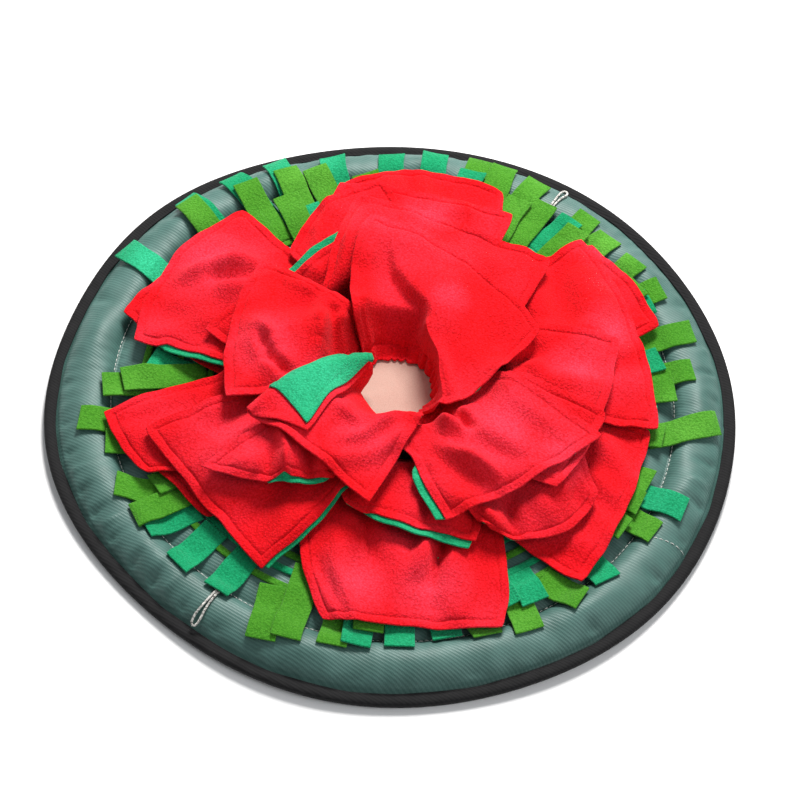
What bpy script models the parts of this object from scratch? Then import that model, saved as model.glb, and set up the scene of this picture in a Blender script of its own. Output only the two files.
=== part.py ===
"""Snuffle mat: a round padded mat with a taped edge, rings of fleece strips and a flower of two-ply petals.

The mat lies flat on the floor at z = 0 with its middle at x = y = 0.  Plan places are given as an
angle in degrees, counted from +X towards +Y, and a distance from the middle.  Everything that lies
on the mat is laid down in turn, from the lowest piece to the highest, over what lies there already.
"""

import math
from collections import namedtuple

import bmesh
import bpy
import numpy as np

# Driving sizes, metres.
MAT_RADIUS = 0.249          # to the outside of the edge tape
STITCH_RADIUS = 0.204       # the running stitch that closes off the stuffed rim
MIDDLE_TOP = 0.014          # top of the mat inside the stitched ring
CHANNEL_TOP = 0.009         # top of the mat where the stitching pulls it down
RIM_TOP = 0.021             # crown of the stuffed rim
REST_RADIUS = 0.228         # the underside is flat out to here
RIM_STATIONS = (0.14, 0.36, 0.62, 0.84)
RIM_FULLNESS = 0.62         # under 1 gives steep sides and a flat crown
TURNS = 48                  # facets round the mat

TAPE_WIDTH = 0.0085         # the tape folded over the seam, seen from above
TAPE_THICK = 0.0010
SEAM_LOW = 0.0022           # underside and top of the seam allowance inside the tape
SEAM_HIGH = 0.0046
GAP = 0.0003                # between pieces that touch

PATCH_RADIUS = 0.030
PATCH_THICK = 0.0015

FLEECE = 0.0015             # one ply
PLY_GAP = 0.0003
PETAL_THICK = 2 * FLEECE + PLY_GAP
SHOW_SHARE = 0.05           # share of a petal by which its back ply stands out where it shows
CLEARANCE = 0.0006          # between a piece and what it is laid on
STEEPEST = 0.50             # cosine of the steepest slope that keeps its full thickness
WALL = 0.24                 # share of a petal's length in which it climbs out of the throat
ROOT_HEIGHT = 0.021         # where the petals are sewn down round the throat
FOLD_SPREAD = 0.22          # half width of a petal's main fold, as a share of its width

STRIP_WIDTH = 0.020
STRIP_THICK = 0.0016
BAND_WIDTH = 0.005          # the sewn-down edge that a row of strips hangs from

CORD_DIAMETER = 0.0016

# How the mat strays from a true disc: waves round it, sizes in mm or as shares of the rim's height.
Wave = namedtuple("Wave", "turns size phase")
OUTLINE_WAVES = [Wave(2, 1.6, -0.1), Wave(3, 1.1, -2.6), Wave(5, 1.0, 1.2), Wave(6, 1.4, -1.7)]
PUCKER_WAVES = [Wave(8, 0.05, 0.43), Wave(13, 0.07, -1.57), Wave(21, 0.06, -0.57)]
PUCKER_RADIUS, PUCKER_SPREAD = 0.222, 0.012
EDGE_WAVES = [Wave(0, 1.2, 0.0), Wave(7, 0.9, 0.5)]
RAISED_EDGE, RAISED_AT, RAISED_SPREAD = 0.0022, 43, 29     # the edge is turned up at the back right

# The pile is a square grid that holds the height of what has been laid down.
CELL = 0.00125
PILE_REACH = 0.262
EDGE_CELLS = 0.7            # how many cells past its edge a triangle still counts
LOOSE_SHARE = 0.4           # least pull that the free points need on a cell that is to be cleared
CLOSE_ENOUGH = 1e-5

Piece = namedtuple("Piece", "colour roughness")
CLOTHS = {
    "oxford": Piece((0.085, 0.195, 0.175), 0.80),
    "tape": Piece((0.022, 0.020, 0.021), 0.85),
    "felt": Piece((0.730, 0.520, 0.400), 0.80),
    "red": Piece((0.860, 0.008, 0.020), 0.95),
    "jade": Piece((0.015, 0.380, 0.190), 0.95),
    "lime": Piece((0.120, 0.400, 0.040), 0.95),
    "cord": Piece((0.720, 0.640, 0.520), 0.90),
}

# A row for each petal, lowest first.  Left is the anticlockwise side, looking outward.
# Angles in degrees, sizes in millimetres.  show names the edge where the back ply stands out.
Petal = namedtuple(
    "Petal",
    "name root root_left root_right left_at left_reach right_at right_reach "
    "left_rise right_rise shoulder bow side_bow fold_at fold_rise show",
)
PETALS = [
    Petal("upper_left_under", 100, 190, 142, 168, 209, 132, 186, 18, 20, 24, 8, 4, 0.5, 0, ""),
    Petal("upper_left", 92, 186, 128, 175, 193, 131, 196, 24, 24, 36, 17, 3, 0.55, 8, "left"),
    Petal("back_under", 100, 118, 52, 106, 190, 70, 203, 30, 25, 30, 15, 4, 0.4, 6, ""),
    Petal("back_outer", 94, 137, 60, 108, 182, 64, 178, 40, 34, 38, 3, 3, 0.5, 3, ""),
    Petal("right_under", 100, 62, 8, 46, 202, 21, 205, 24, 20, 28, 4, 3, 0.5, 0, ""),
    Petal("lower_right", 92, 4, -64, -7, 186, -48, 206, 20, 17, 28, 7, 3, 0.45, -4, ""),
    Petal("right_outer", 92, 50, -12, 47, 193, -7, 191, 34, 28, 36, 13, 3, 0.5, 5, ""),
    Petal("front_outer", 78, 312, 228, 294, 211, 260, 200, 16, 16, 32, 2, 14, 0.5, -6, ""),
    Petal("left_under", 98, 240, 198, 226, 174, 199, 196, 18, 20, 24, 2, 3, 0.5, 0, ""),
    Petal("left_outer", 90, 226, 180, 210, 193, 193, 210, 22, 22, 30, 3, 6, 0.5, 3, ""),
    Petal("back_left", 84, 118, 72, 131, 133, 98, 173, 38, 34, 38, 16, 6, 0.5, 0, "left"),
    Petal("upper_left_middle", 78, 186, 116, 171, 143, 112, 128, 36, 40, 40, 3, 3, 0.5, 0, ""),
    Petal("back_middle", 74, 144, 22, 105, 158, 46, 154, 50, 44, 46, 4, 4, 0.5, 3, ""),
    Petal("right_middle", 64, 46, -34, 15, 164, -38, 150, 42, 38, 40, 9, 4, 0.5, 4, ""),
    Petal("front_middle", 64, 325, 252, 294, 152, 257, 118, 30, 38, 38, 4, 10, 0.5, 0, "tip"),
    Petal("lower_right_middle", 86, 352, 290, 330, 170, 301, 147, 32, 30, 36, 18, 6, 0.4, 4, ""),
    Petal("lower_right_under", 76, 0, -52, 350, 152, 321, 150, 42, 40, 42, 3, 3, 0.5, 0, ""),
    Petal("lower_left", 58, 272, 188, 245, 182, 201, 184, 22, 34, 40, 2, 5, 0.5, 4, "left"),
    Petal("upper_left_top", 38, 208, 126, 200, 125, 141, 136, 50, 46, 50, 10, 3, 0.5, 6, ""),
    Petal("left_top", 42, 264, 206, 249, 112, 218, 162, 44, 44, 50, 5, 5, 0.55, 9, "tip"),
    Petal("lower_right_top", 33, 34, -98, 341, 155, 286, 133, 46, 44, 48, 6, 4, 0.45, -6, "right"),
    Petal("back_top", 31, 141, -54, 103, 129, 20, 108, 60, 52, 52, 16, 11, 0.42, 8, ""),
]
CELLS_ACROSS, CELLS_ALONG = 4, 4
ROOT_CROWDING = 1.15        # over 1 sets the grid lines closer at the root

# The topmost petal lies towards the front left, and one corner is turned over to show its back.
# A row for each corner of the part that lies flat, then the turned-over tip.
Corner = namedtuple("Corner", "at reach rise")
TOP_PETAL = {
    "root_left": Corner(180, 30, 40),
    "root_right": Corner(296, 50, 46),
    "tip_right": Corner(265, 120, 50),
    "tip_left": Corner(211, 115, 54),
    "turned_tip": Corner(233, 95, 60),
}
TOP_FOLD_RADIUS = 0.0026    # inside the turned-over edge
TOP_FOLD_CROWN = 0.010      # the turned edge stands up between its ends
TOP_CROWN_SPREAD = 0.25     # share of the width over which that crown dies out
TOP_ROWS = 5                # cells from root to tip, and grid lines across what lies flat
TOP_FLAT_LINES = 5
TOP_BEND_ROOM = 0.06        # share of the width kept clear beyond the turned edge for its bend
TOP_ROOT_HEIGHT = 0.029
TOP_WALL_START = 0.12       # the root is already this far up the throat's wall
TOP_PEAK_ROW = 3            # the row that the turned-over tip lies on
TOP_LEAST_TURNED = 0.08     # share of the turned-over width left at the ends of the fold
TOP_TURNED_SHARES = (0.0, 0.45, 0.78, 1.0)
TOP_FOLD_TURNS = (135, 90, 45)

# A row of strips for each ring of stitching, outermost and lowest first.
# Each strip: where its tip lies (degrees, mm), how far it leans from its root (degrees), tip lift (mm).
Row = namedtuple("Row", "name cloth radius strips")
Strip = namedtuple("Strip", "at reach lean lift")
ROWS = [
    Row("fringe_lime_outer", "lime", 0.182, [
        Strip(77, 235, 0, 0),
        Strip(65, 232, 1, 0), Strip(52, 226, -1, 0), Strip(38, 221, -1, 0), Strip(30, 224, 0, 0),
        Strip(19, 230, 0, 1), Strip(10, 220, 0, 0), Strip(358, 235, -5, 3), Strip(331, 216, 1, 0),
        Strip(310, 215, -3, 0), Strip(299, 217, 1, 0), Strip(263, 217, 0, 0), Strip(251, 227, -3, 0),
        Strip(209, 214, 6, 0), Strip(193, 227, 2, 3),
    ]),
    Row("fringe_jade_outer", "jade", 0.170, [
        Strip(153, 240, 3, 0), Strip(137, 238, 0, 0), Strip(127, 236, -2, 0), Strip(118, 235, -1, 0),
        Strip(107, 227, 0, 3), Strip(95, 225, 0, 0), Strip(86, 229, 0, 0), Strip(54, 212, 2, 0),
        Strip(37, 205, 0, 3), Strip(28, 210, 0, 0), Strip(14, 199, -2, 0), Strip(338, 226, 0, 0),
        Strip(317, 214, 2, 0), Strip(303, 199, 0, 0), Strip(284, 206, 0, 0), Strip(275, 212, 0, 3),
        Strip(267, 214, 0, 0), Strip(239, 210, 0, 0), Strip(230, 213, -1, 0), Strip(220, 211, 2, 0),
        Strip(165, 202, 0, 4),
    ]),
    Row("fringe_lime_middle", "lime", 0.158, [
        Strip(111, 217, -2, 3), Strip(101, 206, -2, 3), Strip(72, 234, 0, 0), Strip(61, 213, 0, 6),
        Strip(46, 222, -1, 0), Strip(32, 208, 0, 0), Strip(5, 204, 0, 6), Strip(353, 196, 0, 5),
        Strip(341, 196, 0, 4), Strip(328, 198, 0, 6), Strip(291, 211, 0, 0), Strip(269, 202, 0, 2),
        Strip(255, 221, -2, 0), Strip(217, 214, 1, 0), Strip(199, 211, 3, 2), Strip(186, 210, -3, 6),
        Strip(138, 232, 2, 2), Strip(126, 221, 1, 2), Strip(117, 220, 0, 2),
    ]),
    Row("fringe_jade_inner", "jade", 0.146, [
        Strip(147, 197, 0, 4), Strip(116, 182, 0, 4), Strip(78, 217, 0, 2), Strip(358, 190, 0, 3),
        Strip(297, 195, 0, 3), Strip(178, 178, 3, 6),
    ]),
    Row("fringe_lime_inner", "lime", 0.134, [
        Strip(120, 196, 0, 3), Strip(66, 205, 0, 2), Strip(51, 206, 0, 2), Strip(25, 198, 0, 5),
        Strip(335, 197, 0, 4), Strip(322, 195, 0, 5), Strip(185, 196, -4, 8), Strip(212, 190, 0, 0),
        Strip(130, 190, 2, 3), Strip(146, 202, 0, 3),
    ]),
]
STRIP_STATIONS = (0.0, 0.18, 0.56, 1.0)     # shares of a strip's length at which it bends
LIFT_START = 0.3                            # share of a strip's tip lift that it has at mid length
RING_STEP = 11                              # degrees between points where a comb has no strip

# Cord loops, on opposite sides: a row for each point of half a loop, out from the stitching.
LoopPoint = namedtuple("LoopPoint", "reach half_width")
LOOP = [
    LoopPoint(0.2065, 0.0013), LoopPoint(0.2130, 0.0014), LoopPoint(0.2200, 0.0017),
    LoopPoint(0.2270, 0.0026), LoopPoint(0.2320, 0.0034), LoopPoint(0.2352, 0.0030),
    LoopPoint(0.2372, 0.0016),
]
LOOPS = {"cord_loop_front": 239.5, "cord_loop_back": 59.6}
LOOP_STEP = 0.004


def polar(angle, reach, height=0.0):
    """A point from an angle in degrees, a distance from the middle and a height."""
    turn = math.radians(angle)
    return np.array((reach * math.cos(turn), reach * math.sin(turn), height))


def ease(share):
    """0 to 1 with a soft start and end."""
    share = np.clip(share, 0.0, 1.0)
    return share * share * (3.0 - 2.0 * share)


# ---------------------------------------------------------------- objects

def cloth_material(cloth):
    material = bpy.data.materials.get(cloth)
    if material is None:
        material = bpy.data.materials.new(cloth)
        material.use_nodes = True
        shader = material.node_tree.nodes["Principled BSDF"]
        shader.inputs["Base Color"].default_value = (*CLOTHS[cloth].colour, 1.0)
        shader.inputs["Roughness"].default_value = CLOTHS[cloth].roughness
        shader.inputs["Metallic"].default_value = 0.0
    return material


def add_object(name, bm, cloth):
    """Turn a bmesh into a named object in the mat's collection."""
    bmesh.ops.recalc_face_normals(bm, faces=bm.faces[:])
    mesh = bpy.data.meshes.new(name)
    bm.to_mesh(mesh)
    bm.free()
    mesh.materials.append(cloth_material(cloth))
    mesh.shade_smooth()
    mesh.set_sharp_from_angle(angle=math.radians(50))
    thing = bpy.data.objects.new(name, mesh)
    bpy.data.collections["snuffle_mat"].objects.link(thing)
    return thing


def world_triangles(thing):
    """The corners of an object's evaluated triangles, n x 3 x 3."""
    evaluated = thing.evaluated_get(bpy.context.evaluated_depsgraph_get())
    mesh = evaluated.to_mesh()
    mesh.calc_loop_triangles()
    places = np.array([thing.matrix_world @ vertex.co for vertex in mesh.vertices])
    corners = np.array([triangle.vertices[:] for triangle in mesh.loop_triangles])
    evaluated.to_mesh_clear()
    return places[corners]


# ---------------------------------------------------------------- laying one piece on another

class Pile:
    """The height of everything laid down so far, cell by cell."""

    def __init__(self):
        self.count = int(round(2 * PILE_REACH / CELL)) + 1
        self.top = np.zeros((self.count, self.count))

    def cells_under(self, triangle):
        """The cells that a triangle covers, with its corners' shares at the middle of each."""
        low = np.maximum(np.floor((triangle.min(axis=0)[:2] + PILE_REACH) / CELL).astype(int), 0)
        high = np.minimum(np.ceil((triangle.max(axis=0)[:2] + PILE_REACH) / CELL).astype(int), self.count - 1)
        columns, rows = np.meshgrid(np.arange(low[0], high[0] + 1), np.arange(low[1], high[1] + 1))
        columns, rows = columns.ravel(), rows.ravel()
        spots = np.stack([columns, rows], axis=1) * CELL - PILE_REACH
        first, second, third = triangle[:, :2]
        sides = np.array([second - first, third - first]).T
        area = np.linalg.det(sides)
        if abs(area) < 1e-10:
            return columns[:0], rows[:0], np.zeros((0, 3))
        shares = np.linalg.solve(sides, (spots - first).T).T
        shares = np.column_stack([1.0 - shares.sum(axis=1), shares])
        heights = abs(area) / np.array([
            np.linalg.norm(third - second), np.linalg.norm(third - first), np.linalg.norm(second - first)])
        inside = (shares * heights > -EDGE_CELLS * CELL).all(axis=1)
        shares = np.clip(shares[inside], 0.0, 1.0)
        return columns[inside], rows[inside], shares / shares.sum(axis=1, keepdims=True)

    def cover_triangles(self, triangles):
        for triangle in triangles:
            columns, rows, shares = self.cells_under(triangle)
            np.maximum.at(self.top, (rows, columns), shares @ triangle[:, 2])

    def cover(self, thing):
        """Add an object to the pile."""
        self.cover_triangles(world_triangles(thing))

    def clear_height(self, place, radius):
        """How high the middle of a round cord lies so that it clears the pile on every side."""
        reach = int(math.ceil(radius / CELL)) + 1
        column, row = np.rint((np.asarray(place)[:2] + PILE_REACH) / CELL).astype(int)
        near = self.top[row - reach:row + reach + 1, column - reach:column + reach + 1]
        return near.max() + radius


def steepness_room(points, triangles, thickness):
    """How far down, at each point, cloth of this thickness reaches on its slope."""
    normals = np.zeros_like(points)
    for corners in triangles:
        first, second, third = points[corners]
        normals[corners] += np.cross(second - first, third - first)
    upright = np.abs(normals[:, 2]) / np.maximum(np.linalg.norm(normals, axis=1), 1e-12)
    return thickness / np.maximum(upright, STEEPEST)


def least_lift(rows, short):
    """The smallest lifts with rows @ lift >= short, by Hildreth's method, and each row's pressure."""
    lift, pressure = np.zeros(rows.shape[1]), np.zeros(len(rows))
    size = (rows ** 2).sum(axis=1)
    for _ in range(400):
        change = 0.0
        for index, row in enumerate(rows):
            step = max(-pressure[index], (short[index] - row @ lift) / size[index])
            pressure[index] += step
            lift += row * step
            change = max(change, abs(step))
        if change < 1e-7:
            break
    return lift, pressure


def lay(points, triangles, thickness, pile, held=0):
    """Raise a sheet until its underside clears the pile; the first held points stay where they are."""
    points = points.copy()
    under, weights, owner = [], [], []
    for number, trio in enumerate(triangles):
        columns, rows, shares = pile.cells_under(points[trio])
        spread = np.zeros((len(rows), len(points)))
        spread[:, trio] = shares
        under.append(pile.top[rows, columns])
        weights.append(spread)
        owner.append(np.full(len(rows), number))
    under, weights, owner = np.concatenate(under), np.concatenate(weights), np.concatenate(owner)
    loose = weights[:, held:].sum(axis=1) > LOOSE_SHARE
    under, weights, owner = under[loose], weights[loose], owner[loose]
    free = weights.copy()
    free[:, :held] = 0.0
    flat_points = points[:, 2].copy()
    for _ in range(3):
        needed = under + CLEARANCE + weights @ (steepness_room(points, triangles, thickness) - flat_points)
        rows, short = np.zeros((0, len(points))), np.zeros(0)
        lift = np.zeros(len(points))
        for _ in range(60):
            lack = needed - free @ lift
            if lack.max() < CLOSE_ENOUGH:
                break
            worst = [np.flatnonzero(owner == number)[np.argmax(lack[owner == number])]
                     for number in np.unique(owner[lack > CLOSE_ENOUGH])]
            rows, short = np.vstack([rows, free[worst]]), np.append(short, needed[worst])
            lift, pressure = least_lift(rows, short)
            rows, short = rows[pressure > 0.0], short[pressure > 0.0]
        points[:, 2] = flat_points + lift
    return points


def grid_triangles(across, along):
    """Two triangles for each cell of a grid of points, row after row."""
    triangles = []
    for row in range(along):
        for column in range(across):
            corner = row * (across + 1) + column
            triangles.append((corner, corner + 1, corner + across + 2))
            triangles.append((corner, corner + across + 2, corner + across + 1))
    return np.array(triangles)


def ply(name, faces, backs, triangles, cloth):
    """One ply of cloth: a solid between its face points and its back points."""
    bm = bmesh.new()
    used = sorted(set(np.asarray(triangles).ravel().tolist()))
    upper = {index: bm.verts.new(faces[index]) for index in used}
    lower = {index: bm.verts.new(backs[index]) for index in used}
    edges = set()
    for first, second, third in np.asarray(triangles).tolist():
        bm.faces.new((upper[first], upper[second], upper[third]))
        bm.faces.new((lower[third], lower[second], lower[first]))
        edges |= {(first, second), (second, third), (third, first)}
    for start, end in sorted(edges):
        if (end, start) not in edges:
            bm.faces.new((upper[end], upper[start], lower[start]))
            bm.faces.new((upper[end], lower[start], lower[end]))
    return add_object(name, bm, cloth)


# ---------------------------------------------------------------- the padded mat

def waves(table, turn):
    return sum(wave.size * math.cos(wave.turns * turn + wave.phase) for wave in table)


def uneven(x, y, z):
    """The mat's small faults: an edge that is not quite round, a wavy seam and a puckered rim."""
    reach, turn = math.hypot(x, y), math.atan2(y, x)
    outline = waves(OUTLINE_WAVES, turn) / 1000 * ease((reach - 0.19) / 0.05)
    raised = (turn - math.radians(RAISED_AT)) / math.radians(RAISED_SPREAD)
    edge_lift = waves(EDGE_WAVES, turn) / 1000 + RAISED_EDGE * math.exp(-raised ** 2)
    edge_lift *= ease((reach - REST_RADIUS) / (MAT_RADIUS - REST_RADIUS))
    pucker = waves(PUCKER_WAVES, turn) * math.exp(-((reach - PUCKER_RADIUS) / PUCKER_SPREAD) ** 2)
    stretched = 1.0 + outline / max(reach, PATCH_RADIUS)
    return x * stretched, y * stretched, z * (1.0 + pucker) + edge_lift


def revolve(name, section, closed, cloth):
    """Spin a section of (radius, height) points round the middle, then make it uneven."""
    bm = bmesh.new()
    verts = [bm.verts.new((radius, 0.0, height)) for radius, height in section]
    edges = [bm.edges.new(pair) for pair in zip(verts, verts[1:])]
    if closed:
        edges.append(bm.edges.new((verts[-1], verts[0])))
    bmesh.ops.spin(bm, geom=verts + edges, axis=(0, 0, 1), cent=(0, 0, 0),
                   angle=2 * math.pi, steps=TURNS, use_merge=True)
    bmesh.ops.remove_doubles(bm, verts=bm.verts[:], dist=1e-6)
    for vert in bm.verts:
        vert.co = uneven(*vert.co)
    bmesh.ops.triangulate(bm, faces=bm.faces[:])
    return add_object(name, bm, cloth)


def rim_height(share):
    """The stuffed rim's top, from the stitching at 0 to the edge seam at 1."""
    swell = (4.0 * share * (1.0 - share)) ** RIM_FULLNESS
    floor = CHANNEL_TOP + (SEAM_HIGH - CHANNEL_TOP) * share
    return floor + (RIM_TOP - CHANNEL_TOP) * swell


def build_mat():
    seam_start = MAT_RADIUS - TAPE_WIDTH - TAPE_THICK
    seam_edge = MAT_RADIUS - TAPE_THICK - GAP
    top = [(0.0, MIDDLE_TOP), (STITCH_RADIUS - 0.024, MIDDLE_TOP),
           (STITCH_RADIUS - 0.008, (2 * MIDDLE_TOP + CHANNEL_TOP) / 3), (STITCH_RADIUS, CHANNEL_TOP)]
    for share in RIM_STATIONS:
        top.append((STITCH_RADIUS + (seam_start - STITCH_RADIUS) * share, rim_height(share)))
    top += [(seam_start, SEAM_HIGH), (seam_edge, SEAM_HIGH)]
    underside = [(seam_edge, SEAM_LOW), (seam_start, SEAM_LOW), (REST_RADIUS, 0.0), (0.0, 0.0)]
    return revolve("padded_mat", top + underside, False, "oxford")


def build_tape():
    """The tape wraps the seam allowance: over it, round its edge and under it."""
    lip = MAT_RADIUS - TAPE_WIDTH
    inside_edge = MAT_RADIUS - TAPE_THICK
    section = [
        (lip, SEAM_HIGH + GAP), (lip, SEAM_HIGH + GAP + TAPE_THICK),
        (MAT_RADIUS, SEAM_HIGH + GAP + TAPE_THICK), (MAT_RADIUS, SEAM_LOW - GAP - TAPE_THICK),
        (lip, SEAM_LOW - GAP - TAPE_THICK), (lip, SEAM_LOW - GAP),
        (inside_edge, SEAM_LOW - GAP), (inside_edge, SEAM_HIGH + GAP),
    ]
    return revolve("edge_tape", section, True, "tape")


def build_patch():
    floor = MIDDLE_TOP + GAP
    bm = bmesh.new()
    bmesh.ops.create_cone(bm, cap_ends=True, segments=36, radius1=PATCH_RADIUS,
                          radius2=PATCH_RADIUS, depth=PATCH_THICK)
    bmesh.ops.translate(bm, verts=bm.verts[:], vec=(0, 0, floor + PATCH_THICK / 2))
    bmesh.ops.triangulate(bm, faces=bm.faces[:])
    return add_object("middle_patch", bm, "felt")


# ---------------------------------------------------------------- cord loops

def smooth_route(points, step):
    """Points at even steps on a smooth curve through the given ones."""
    points = np.array(points)
    ends = np.vstack([2 * points[0] - points[1], points, 2 * points[-1] - points[-2]])
    fine = []
    for before, start, end, after in zip(ends, ends[1:], ends[2:], ends[3:]):
        for share in np.linspace(0.0, 1.0, 12, endpoint=False):
            fine.append(0.5 * (2 * start + (end - before) * share
                               + (2 * before - 5 * start + 4 * end - after) * share ** 2
                               + (3 * start - before - 3 * end + after) * share ** 3))
    fine = np.array(fine + [points[-1]])
    run = np.concatenate([[0.0], np.cumsum(np.linalg.norm(np.diff(fine, axis=0), axis=1))])
    even = np.linspace(0.0, run[-1], int(round(run[-1] / step)) + 1)
    return np.column_stack([np.interp(even, run, fine[:, axis]) for axis in range(3)])


def loop_route(angle):
    """Out along one side of the loop, round its end and back along the other, flat."""
    outward, sideways = polar(angle, 1.0), polar(angle + 90, 1.0)
    out = [outward * point.reach + sideways * point.half_width for point in LOOP]
    back = [outward * point.reach - sideways * point.half_width for point in reversed(LOOP)]
    return smooth_route(out + back, LOOP_STEP)


def build_loop(name, angle, pile):
    route = loop_route(angle)
    radius = CORD_DIAMETER / 2
    curve = bpy.data.curves.new(name, "CURVE")
    curve.dimensions = "3D"
    curve.bevel_depth = radius
    curve.bevel_resolution = 2
    curve.use_fill_caps = True
    spline = curve.splines.new("POLY")
    spline.points.add(len(route) - 1)
    for point, place in zip(spline.points, route):
        point.co = (place[0], place[1], pile.clear_height(place, radius) + 2 * GAP, 1.0)
    curve.materials.append(cloth_material("cord"))
    loop = bpy.data.objects.new(name, curve)
    bpy.data.collections["snuffle_mat"].objects.link(loop)
    return loop


# ---------------------------------------------------------------- rings of strips

def strip_outline(strip, root_radius):
    """Left and right points of a strip at each station, on the flat."""
    root = polar(strip.at + strip.lean, root_radius)
    tip = polar(strip.at, strip.reach / 1000)
    along = (tip - root) / np.linalg.norm(tip - root)
    sideways = np.array((-along[1], along[0], 0.0)) * STRIP_WIDTH / 2
    places = [root + (tip - root) * share for share in STRIP_STATIONS]
    return [(place + sideways, place - sideways) for place in places]


def bare_stretch(strip, following, radius):
    """Points that keep the comb's edge round where the next strip is far off."""
    start = strip.at + strip.lean
    span = (following.at + following.lean - start) % 360
    half_strip = math.degrees(STRIP_WIDTH / 2 / radius)
    steps = int((span - 2 * half_strip) // RING_STEP)
    return [polar(start + half_strip + (span - 2 * half_strip) * step / (steps + 1), radius)
            for step in range(1, steps + 1)]


def build_fringe(row, pile):
    """One comb: a ring that is sewn down, with the row's strips lying outward from it."""
    floor = MIDDLE_TOP + GAP + STRIP_THICK
    inner, outer = row.radius - BAND_WIDTH / 2, row.radius + BAND_WIDTH / 2
    faces, backs, triangles, ring = [], [], [], []
    ordered = sorted(row.strips, key=lambda strip: (strip.at + strip.lean) % 360)
    for place_in_ring, strip in enumerate(ordered):
        outline = strip_outline(strip, outer)
        points = np.array([side for pair in outline for side in pair])
        points[:, 2] = floor
        points[4:, 2] += np.linspace(LIFT_START, 1.0, len(points) - 4) * strip.lift / 1000
        own = grid_triangles(1, len(STRIP_STATIONS) - 1)
        points = lay(points, own, STRIP_THICK, pile, held=2)
        first = len(faces)
        faces += list(points)
        backs += list(points - np.outer(steepness_room(points, own, STRIP_THICK), (0, 0, 1)))
        triangles += list(own + first)
        ring += [first + 1, first]
        for place in bare_stretch(strip, ordered[(place_in_ring + 1) % len(ordered)], outer):
            ring.append(len(faces))
            faces.append(place + (0.0, 0.0, floor))
            backs.append(place + (0.0, 0.0, floor - STRIP_THICK))
    for index in ring:
        backs[index] = faces[index] - np.array((0.0, 0.0, STRIP_THICK))
    inward = len(faces)
    for index in ring:
        place = faces[index].copy()
        place[:2] *= inner / np.linalg.norm(place[:2])
        faces.append(place)
        backs.append(place - np.array((0.0, 0.0, STRIP_THICK)))
    for step in range(len(ring)):
        after = (step + 1) % len(ring)
        triangles.append((inward + step, ring[step], ring[after]))
        triangles.append((inward + step, ring[after], inward + after))
    return ply(row.name, faces, backs, np.array(triangles), row.cloth)


# ---------------------------------------------------------------- petals

def petal_lines(petal):
    """Where the grid lines lie across and along a petal; an edge that shows its back has one more."""
    across = np.linspace(0.0, 1.0, CELLS_ACROSS + 1)
    along = np.linspace(0.0, 1.0, CELLS_ALONG + 1) ** ROOT_CROWDING
    if petal.show == "left":
        across = np.insert(across, 1, SHOW_SHARE)
    elif petal.show == "right":
        across = np.insert(across, CELLS_ACROSS, 1.0 - SHOW_SHARE)
    elif petal.show == "tip":
        along = np.insert(along, CELLS_ALONG, 1.0 - SHOW_SHARE)
    return across, along


def petal_point(petal, u, v):
    """A point of a petal's face as it would lie with nothing under it."""
    tip_left = polar(petal.left_at, petal.left_reach / 1000)
    chord = polar(petal.right_at, petal.right_reach / 1000) - tip_left
    sideways = chord / np.linalg.norm(chord)
    outward = np.array((-sideways[1], sideways[0], 0.0))
    root = polar(petal.root_left + (petal.root_right - petal.root_left) * u, petal.root / 1000)
    tip = tip_left + chord * u + outward * petal.bow / 1000 * 4 * u * (1 - u)
    place = root + (tip - root) * v
    place += sideways * petal.side_bow / 1000 * (2 * u - 1) * 4 * v * (1 - v)
    rise = petal.left_rise + (petal.right_rise - petal.left_rise) * u
    fold = petal.fold_rise * math.exp(-((u - petal.fold_at) / FOLD_SPREAD) ** 2)
    open_height = petal.shoulder + (rise - petal.shoulder) * v
    open_height += fold * math.sin(math.pi * (0.25 + 0.75 * v))
    place[2] = ROOT_HEIGHT + (open_height / 1000 - ROOT_HEIGHT) * ease(v / WALL)
    return place


def build_petal(petal, pile):
    """The red front ply and, under it, the green back ply."""
    across, along = petal_lines(petal)
    triangles = grid_triangles(len(across) - 1, len(along) - 1)
    points = np.array([petal_point(petal, u, v) for v in along for u in across])
    points = lay(points, triangles, PETAL_THICK, pile)
    down = np.outer(steepness_room(points, triangles, 1.0), (0, 0, -1.0))
    lines = np.arange(len(points)).reshape(len(along), len(across))
    bare = {"left": lines[:, 0], "right": lines[:, -1], "tip": lines[-1]}.get(petal.show, [])
    covered = triangles[~np.isin(triangles, bare).any(axis=1)]
    front = ply(petal.name + "_front", points, points + down * FLEECE, covered, "red")
    back = ply(petal.name + "_back", points + down * (FLEECE + PLY_GAP), points + down * PETAL_THICK,
               triangles, "jade")
    pile.cover(front)
    pile.cover(back)


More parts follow.
